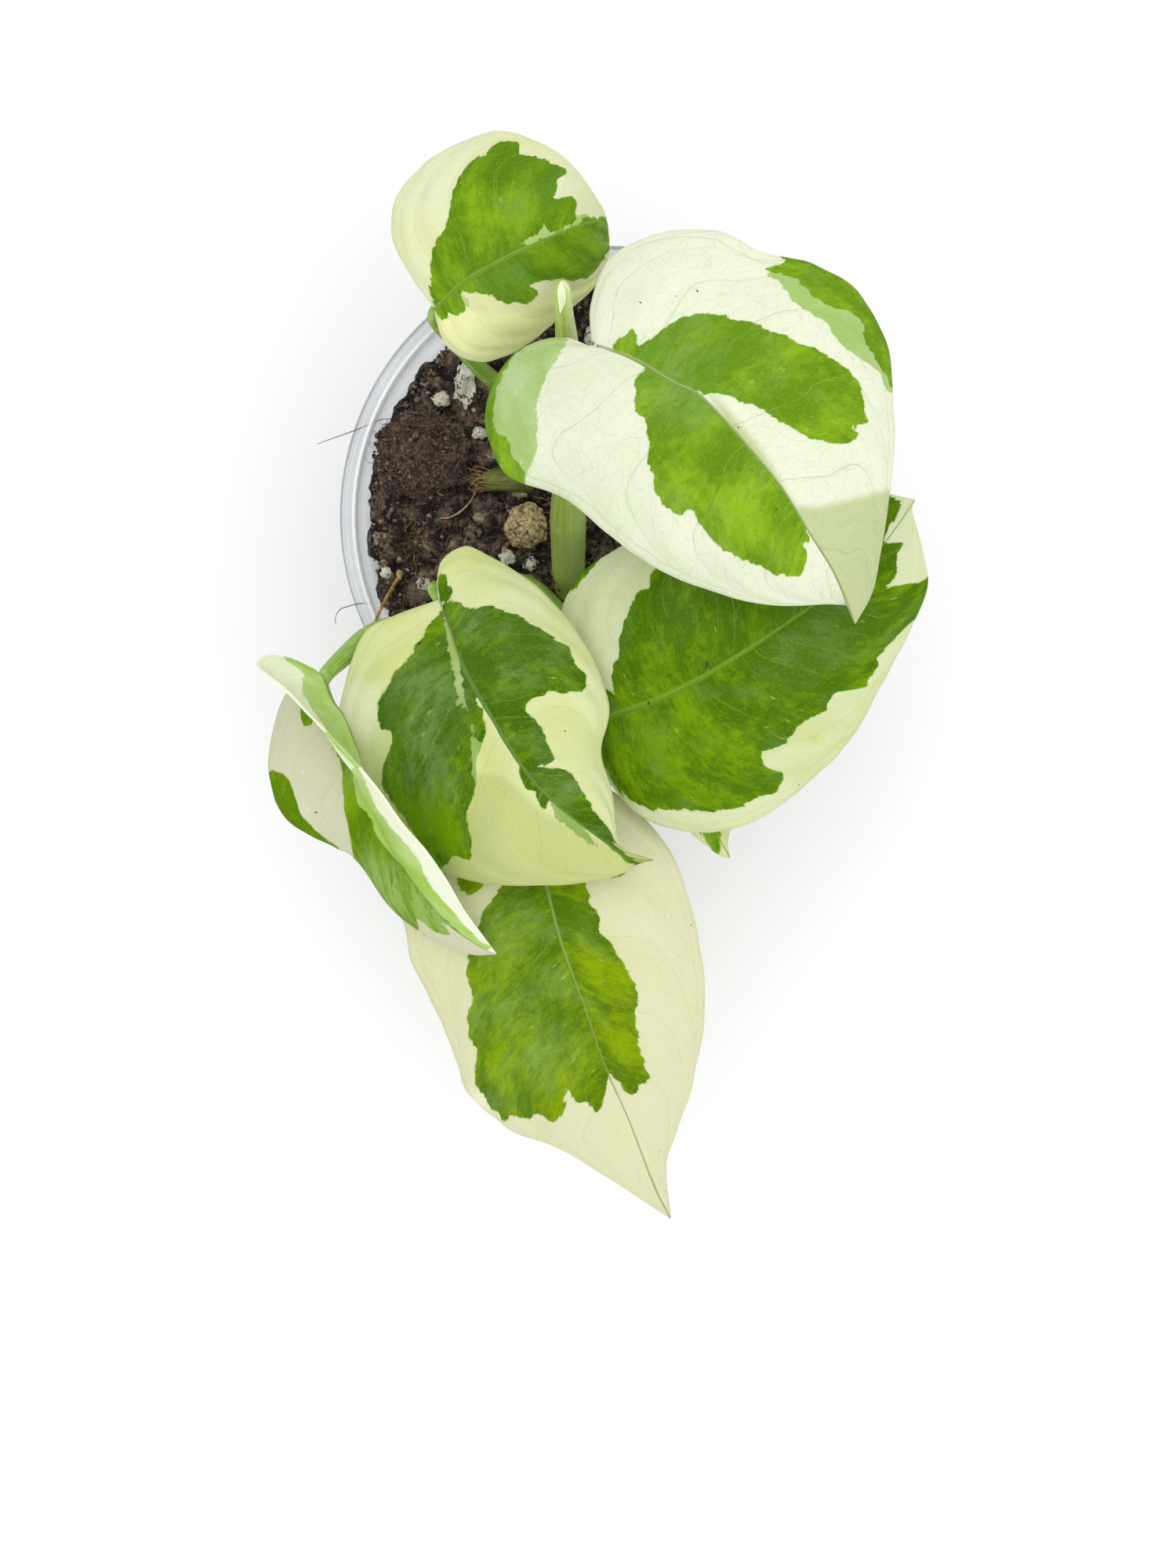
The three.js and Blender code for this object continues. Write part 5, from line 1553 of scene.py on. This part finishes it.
def strew(rng, count, kinds, small, large, by_wall):
    """Crumbs over the mix, a share of them gathered against the wall."""
    heap = Heap()
    for _ in range(count):
        wall = rng.random() < by_wall
        size = small + (large - small) * rng.random() ** 2
        reach = MIX_RADIUS_MM + 0.5 - size
        r = reach - abs(rng.gauss(0, 1.5)) if wall else reach * math.sqrt(rng.random())
        turn = rng.uniform(0, FULL_TURN)
        x, y = r * math.cos(turn), r * math.sin(turn)
        crumb, faces = squashed(rng, kinds, size, (0.55, 1), (0.5, 0.95))
        lift = rng.uniform(-0.3, 0.5) * size + (rng.random() ** 3 * 1.8 if wall else 0)
        heap.add(crumb @ turned(rng).T + (x, y, crumbly_height(x, y) + lift), faces, rng.random())
    return heap


def add_chips(rng, heap, kinds):
    """Bark chips, flat and longer than the crumbs."""
    for _ in range(BARK_CHIPS):
        x, y = spot_on_disc(rng, MIX_RADIUS_MM - 2)
        base, faces = rng.choice(kinds)
        squash = np.array([rng.uniform(1, 2.2), rng.uniform(0.3, 0.7), rng.uniform(0.15, 0.35)])
        tilt = np.array(Matrix.Rotation(rng.uniform(0, 6.28), 3, "Z")
                        @ Matrix.Rotation(rng.gauss(0, 0.5), 3, "Y"))
        chip = (base * squash) @ tilt.T + (x, y, crumbly_height(x, y) + 0.25)
        heap.add(chip, faces, rng.uniform(0.1, 1.2))


def build_crumbs(soil):
    """Crumbs, bark chips and fibres strewn over the mix, more of them against the wall."""
    rng = random.Random(8)
    shapes = [rough_ball(2, 0.75, 2.2, (7 * k, 3, 1)) for k in range(7)]
    fine = [rough_ball(1, 0.6, 1.7, (5 * k, 1, 2)) for k in range(5)]
    coarse = strew(rng, CRUMBS, shapes, 0.4, 1.1, 0.35)
    add_chips(rng, coarse, shapes)
    coarse.place("mix_crumbs", soil, "potting_mix")
    strew(rng, GRIT, fine, 0.14, 0.55, 0.3).place("mix_grit", soil, "potting_mix")

    strands = Heap()
    for _ in range(MIX_FIBRES):
        x, y = spot_on_disc(rng, MIX_RADIUS_MM - 0.6)
        add_strand(rng, strands, x, y, rng.uniform(1.2, 5), 0.5)
    strands.place("mix_fibres", fibre_material("root_fibre"), "brown_root")

    # A tuft of tan fibres near the wall
    tuft = Heap()
    for _ in range(TUFT_FIBRES):
        x, y = rng.gauss(TUFT_MM[0], 1.1), rng.gauss(TUFT_MM[1], 1.6)
        add_strand(rng, tuft, x, y, rng.uniform(0.8, 2.4), 1.2)
    tuft.place("mix_tuft", fibre_material("tan_fibre"), "dry_fibre")


def add_strand(rng, heap, x, y, length, rise):
    """One fibre that wanders over the mix from a point."""
    heading = rng.uniform(0, FULL_TURN)
    route = []
    for step in range(5):
        arch = rise * math.sin(step / 4 * math.pi) * rng.random()
        route.append((x, y, crumbly_height(x, y) + 0.2 + arch))
        heading += rng.gauss(0, 0.6)
        x += length / 4 * math.cos(heading)
        y += length / 4 * math.sin(heading)
        if math.hypot(x, y) > MIX_RADIUS_MM - 0.6:
            x, y = x * 0.96, y * 0.96
    radius = rng.uniform(0.035, 0.09)
    heap.tube(route, [radius, radius * 0.6], 5, 8, rng.random())


# What the wall presses flat, seen through it from the side
def wall_at(turn, z, inside):
    """A point so far inside the wall's inner face."""
    foot = BASE_RADIUS_MM - WALL_MM
    top = POT_HEIGHT_MM - COLLAR_DEPTH_MM
    reach = foot + (MIX_RADIUS_MM + 0.5 - foot) * z / top - inside
    return np.array([reach * math.cos(turn), reach * math.sin(turn), z])


def pressed(rng, count, kinds, small, large, low, high):
    """Lumps pressed against the wall, with tones from low to high."""
    heap = Heap()
    for _ in range(count):
        size = small + (large - small) * rng.random() ** 2
        turn = rng.uniform(0, FULL_TURN)
        out = np.array([math.cos(turn), math.sin(turn), 0.0])
        lump, faces = squashed(rng, kinds, size, (0.4, 1), (0.4, 1))
        lump = lump @ turned(rng).T
        flat = lump - 0.6 * (lump @ out)[:, None] * out
        deepest = (flat @ out).max()
        z = rng.uniform(FLOOR_MM + 1.5, POT_HEIGHT_MM - COLLAR_DEPTH_MM - 2)
        heap.add(flat + wall_at(turn, z, 0.25 + deepest), faces, rng.uniform(low, high))
    return heap


def build_pressed(soil, white, root):
    rng = random.Random(21)
    shapes = [rough_ball(1, 0.6, 1.7, (5 * k, 4, 2)) for k in range(6)]
    lumps = [rough_ball(2, 0.5, 1.6, (3 * k, 9, 2)) for k in range(4)]
    crumbs = pressed(rng, PRESSED_CRUMBS, shapes, 0.3, 1.5, -0.5, 1.15)
    crumbs.place("mix_side", soil, "potting_mix")
    perlite = pressed(rng, PRESSED_PERLITE, lumps, 0.5, 1.8, 0, 1)
    perlite.place("perlite_side", white, "white_grit")
    roots = Heap()
    for _ in range(PRESSED_ROOTS):
        turn = rng.uniform(0, FULL_TURN)
        z = rng.uniform(30, 60)
        lean = rng.gauss(0, 0.03)
        route = []
        for _ in range(7):
            route.append(wall_at(turn, z, 0.42))
            lean += rng.gauss(0, 0.03)
            turn += lean
            z = max(FLOOR_MM + 1.5, z - rng.uniform(1, 7))
        roots.tube(route, [rng.uniform(0.2, 0.35), 0.15], 6, 48, rng.random())
    roots.place("root_side", root, "brown_root")


# Lumps that lie on the mix
def lump_mesh(name, lump, material, subdivisions, rough, scale, offset, pits):
    """A rough pitted ball that fills the box given by a lump's centre and half sizes."""
    centre, half = lump
    base, faces = rough_ball(subdivisions, rough, scale, offset, 4)
    holes = np.array([noise.voronoi(Vector(p) * 3.2 + Vector(offset))[0][0] for p in base])
    base = base * (1 - pits * np.clip(0.45 - holes, 0, 1))[:, None]
    points = base / np.abs(base).max(0) * np.array(half) + np.array(centre)
    tones = np.full(len(points), 0.5)
    return add_mesh(name, points, faces, [material], floats={"tone": tones})


def build_peat(rng):
    """The peat lump with its loose grains and fine hairs."""
    peat = crumb_material("peat")
    plug = lump_mesh("peat_plug", PEAT_LUMP, peat, 6, 0.24, 2.6, (2, 8, 5), 0.4)
    place(plug, "peat", "peat_lump")
    centre, half = (np.array(part) for part in PEAT_LUMP)
    grains = Heap()
    shapes = [rough_ball(2, 0.6, 1.6, (4 * k, 7, 3)) for k in range(5)]
    for _ in range(PEAT_GRAINS):
        turn = rng.uniform(0, FULL_TURN)
        out = math.sqrt(rng.random())
        size = rng.uniform(0.12, 0.5)
        rise = math.sqrt(max(0, 1 - out * out)) * 0.95
        spot = centre + half * (out * 0.96 * math.cos(turn), out * 0.96 * math.sin(turn), rise)
        grain, faces = squashed(rng, shapes, size, (0.3, 0.8), (0.3, 0.8))
        grains.add(grain @ turned(rng).T + spot, faces, rng.random())
    grains.place("peat_grains", peat, "peat")

    hairs = Heap()
    for _ in range(PEAT_HAIRS):
        turn = rng.uniform(0, FULL_TURN)
        out = math.sqrt(rng.random()) * 0.93
        heading = rng.uniform(0, FULL_TURN)
        length = rng.uniform(1, 2.8)
        route = []
        for step in range(4):
            px = out * math.cos(turn) + step * length / 3 / half[0] * math.cos(heading)
            py = out * math.sin(turn) + step * length / 3 / half[1] * math.sin(heading)
            pz = math.sqrt(max(0.02, 1 - px * px - py * py))
            route.append((centre[0] + px * half[0], centre[1] + py * half[1],
                          centre[2] + pz * half[2] * 0.985 + rng.uniform(-0.05, 0.18)))
            heading += rng.gauss(0, 0.5)
        hairs.tube(route, [rng.uniform(0.04, 0.08), 0.03], 4, 6, rng.random())
    hairs.place("peat_hairs", fibre_material("peat_fibre"), "peat")


def build_pebble():
    pebble = lump_mesh("pebble_porous", CLAY_PEBBLE, clay_material(), 5, 0.22, 1.3, (4, 4, 9), 0.28)
    place(pebble, "baked_clay", "clay_pebble")


def build_perlite(rng, white):
    for k, lump in enumerate(PERLITE):
        grain = lump_mesh(f"perlite_grain_{k + 1}", lump, white, 4, 0.45, 1.7, (3 * k, 6, 2), 0.35)
        place(grain, "white_grit", f"perlite_{k + 1}")
    specks = Heap()
    for k in range(PERLITE_SPECKS):
        x, y = spot_on_disc(rng, MIX_RADIUS_MM - 1.5)
        size = rng.uniform(0.2, 0.5)
        base, faces = rough_ball(2, 0.6, 1.8, (k, 2, 2))
        specks.add(base * size + (x, y, crumbly_height(x, y) + 0.1), faces, rng.random())
    specks.place("perlite_specks", white, "white_grit")


# Stems
def build_stem(piece_name, route, radii, sides, steps, shape, material, slot, node):
    points, faces, share, turn = sweep(route, radii, sides, steps, shape)
    here = np.stack([share, np.cos(turn), np.sin(turn)], -1)
    piece = add_mesh(piece_name, points, faces, [material], vectors={"stalk_place": here})
    place(piece, slot, node)


def vine_form(share, turn):
    """A node ring near the top, and fine ribs."""
    ring = 0.1 * math.exp(-((share - 0.86) / 0.012) ** 2)
    ribs = 0.01 * math.cos(turn * 7 + share * 3) + 0.006 * math.cos(turn * 15)
    return 1 + ring + ribs


def roll_form(share, turn):
    """A rolled young leaf: its free edge laps over the roll, and its end is blunt."""
    lap = (turn / FULL_TURN) ** 3
    blunt = math.sqrt(max(0.02, 1 - (max(0, share - 0.88) / 0.12) ** 2))
    return (0.9 + 0.16 * lap) * blunt


def cutting_form(share, turn):
    """Uneven, and thinner towards the cut end."""
    return (1 + 0.05 * math.cos(5 * turn + 4 * share)) * min(1, 0.62 + 1.9 * share)


def build_stems():
    vine_green = stalk_material("vine_green", side=-1, foot=VINE_FOOT_PAINTED_LIGHT)
    build_stem("vine_stem", VINE, VINE_RADII, 40, 110, vine_form, vine_green, "stem", "vine")
    shoot_green = stalk_material("shoot_green", side=1, slit=0.5)
    build_stem("shoot_rolled", SHOOT, SHOOT_RADII, 40, 50, roll_form, shoot_green, "stem", "shoot")
    build_stem("cutting_stub", CUTTING, CUTTING_RADII, 32, 30, cutting_form,
               stalk_material("cutting_green"), "old_stem", "old_cutting")


# Dry fibres and roots
def build_frays(rng):
    """Frayed fibres at the cutting's end, and rags of dry sheath round the vine's foot."""
    frayed = Heap()
    x, end_y, end_z = CUTTING[0]
    low, middle, high = SHEATH_HEIGHTS_MM
    for _ in range(CUTTING_FRAYS):
        turn = rng.uniform(0, FULL_TURN)
        r = rng.uniform(0.6, 1.8)
        y, z = end_y + r * math.cos(turn), end_z + r * math.sin(turn)
        reach = rng.uniform(0.8, 2.6)
        route = [(x + 1.5, y, z), (x - reach * 0.4, y + rng.gauss(0, 0.3), z + rng.gauss(0, 0.2)),
                 (x - reach, y + rng.gauss(0, 0.9), z + rng.gauss(0, 0.5) + 0.2)]
        frayed.tube(route, [0.12, 0.05], 5, 6, rng.random())
    for _ in range(SHEATH_RAGS):
        turn = rng.uniform(0, FULL_TURN)
        right, up = math.cos(turn), math.sin(turn)
        x, y = SHEATH_MM[0] + SHEATH_RADIUS_MM * right, SHEATH_MM[1] + SHEATH_RADIUS_MM * up
        lean = rng.uniform(0.1, 0.9)
        route = [(x, y, low), (x + lean * 0.5 * right, y + lean * 0.5 * up, middle),
                 (x + lean * 1.6 * right, y + lean * 1.6 * up + 0.6, high + rng.uniform(0, 1.8))]
        frayed.tube(route, [0.16, 0.05], 5, 6, rng.random())
    frayed.place("frayed_fibres", fibre_material("dry_fibre"), "dry_fibre")


def build_straw():
    """The dry straw with a thicker node low on it."""
    straw = Heap()
    straw.tube(STRAW, STRAW_RADII, 12, 40, 0.6, lambda share, turn: 1 + 0.1 * math.cos(3 * turn))
    knot, faces = rough_ball(3, 0.3, 1.5, (1, 2, 3))
    straw.add(knot * STRAW_KNOT_HALF + STRAW_KNOT, faces, 0.9)
    straw.place("straw_bent", fibre_material("straw"), "dry_fibre", "dry_straw")


def build_root_curl(root_brown):
    def knobbly(share, turn):
        return 1 + 0.12 * math.sin(23 * share) * math.cos(2 * turn)

    curl = Heap()
    curl.tube(ROOT_CURL, ROOT_CURL_RADII, 12, 40, 0.6, knobbly)
    curl.place("root_curled", root_brown, "brown_root", "root_curl")


def build_root_hairs(rng, root_brown):
    """Root hairs that have climbed over the lip or lie on the mix."""
    hairs = Heap()
    for route in ROOT_HAIRS:
        hairs.tube(route, [0.06, 0.09, 0.08, 0.06], 6, 36, rng.uniform(0, 0.4))
    hairs.place("root_hairs", root_brown, "brown_root")


def build_roots(material):
    """The roots that leave each buried foot in a fan, where the solids have them, a little wavy."""
    rng = random.Random(17)
    feet = [(VINE[0], VINE_ROOT_SEED)]
    feet += [(leaf["stalk"][0], LEAF_ROOT_SEED + k) for k, leaf in enumerate(LEAVES.values())]
    heap = Heap()
    for foot, seed in feet:
        if foot[2] != BURIED_MM:
            continue
        draw = draws(seed)
        first = FULL_TURN * next(draw)
        for k in range(ROOTS_EACH):
            turn = first + FULL_TURN * (k + 0.4 * next(draw)) / ROOTS_EACH
            length = ROOT_LENGTH_MM * (0.7 + 0.3 * next(draw))
            run = unit(np.array([math.cos(turn), math.sin(turn), -ROOT_DROP])) * length
            route = []
            for share in np.linspace(0, 1, 6):
                sway = np.array([rng.gauss(0, 0.3), rng.gauss(0, 0.3), 0]) * share
                route.append(np.array(foot) + (0, 0, 1.5) + run * share + sway)
            heap.tube(route, ROOT_RADII, 8, 20, rng.random())
    heap.place("roots_buried", material, "brown_root")


def build_specks(tops, material):
    """Specks of mix on the blades, each at the point of its blade's top nearest to its pixel."""
    rng = random.Random(5)
    heap = Heap()
    for name, pixel, length in SPECKS:
        away = np.linalg.norm(photo_pixels(tops[name]) - np.array(pixel), axis=1)
        spot = tops[name][np.argmin(away)]
        base, faces = rough_ball(2, 0.5, 1.5, (length, spot[0], 2))
        turn = np.array(Matrix.Rotation(rng.uniform(0, 3.14), 3, "Z"))
        half = (length / 2, length * 0.2, length * 0.14)
        heap.add((base * half) @ turn.T + spot, faces, rng.random())
    heap.place("leaf_specks", material, "potting_mix")


# Stage
def add_light(name, location, size, power, colour=(1, 1, 1)):
    """A round soft light that points at the middle of the plant."""
    data = bpy.data.lights.new(name, "AREA")
    data.shape = "DISK"
    data.size = size
    data.energy = power
    data.color = colour
    light = bpy.data.objects.new(name, data)
    light.location = location
    light.rotation_euler = (LIGHTS_AIM - light.location).to_track_quat("-Z", "Y").to_euler()
    bpy.context.scene.collection.objects.link(light)


def build_camera():
    data = bpy.data.cameras.new("camera")
    data.sensor_fit = "VERTICAL"
    data.sensor_height = 36
    data.lens = data.sensor_height * FOCAL_PX / PHOTO_SIZE_PX[1]
    data.clip_start = 0.01
    camera = bpy.data.objects.new("camera", data)
    camera.location = Vector(CAMERA_MM) * MM
    bpy.context.scene.collection.objects.link(camera)
    bpy.context.scene.camera = camera


def build_stage():
    build_camera()
    scene = bpy.context.scene
    scene.view_settings.view_transform = "Standard"
    world = bpy.data.worlds.new("studio")
    world.use_nodes = True
    background = world.node_tree.nodes["Background"]
    background.inputs["Color"].default_value = SKY
    background.inputs["Strength"].default_value = SKY_STRENGTH
    scene.world = world
    add_light("softbox", (-0.1, 0.3, 1.3), 1.2, 4.3, (1, 0.99, 0.97))
    add_light("fill", (0.35, -0.6, 1.0), 1.2, 3.2)
    s = Shade("floor")
    half = FLOOR_HALF_MM
    corners = [(-half, -half, 0), (half, -half, 0), (half, half, 0), (-half, half, 0)]
    floor = add_mesh("floor", corners, [(0, 1, 2, 3)],
                     [s.finish(s.surface(linear(FLOOR_WHITE), 0.85, 0.1))])


STALK_GREEN = stalk_material("stalk_green")
build_stage()
build_pot()
mix_brown = crumb_material("potting_mix")
build_mix(mix_brown)
build_crumbs(mix_brown)
lump_draws = random.Random(3)
build_peat(lump_draws)
build_pebble()
perlite_white = perlite_material()
build_perlite(lump_draws, perlite_white)
pale_root = fibre_material("side_root")
# What the wall presses flat and the specks on the blades wear the frame's own plain material
plain_mix = bpy.data.materials["potting_mix"]
build_pressed(plain_mix, perlite_white, pale_root)
build_stems()
fibre_draws = random.Random(12)
build_frays(fibre_draws)
build_straw()
brown_root = fibre_material("root_brown")
build_root_curl(brown_root)
build_root_hairs(fibre_draws, brown_root)
build_roots(pale_root)
blade_tops = {}
for number, (leaf_name, look) in enumerate(LEAVES.items()):
    blade_tops[leaf_name] = build_leaf(leaf_name, look, number + 1)
build_specks(blade_tops, plain_mix)
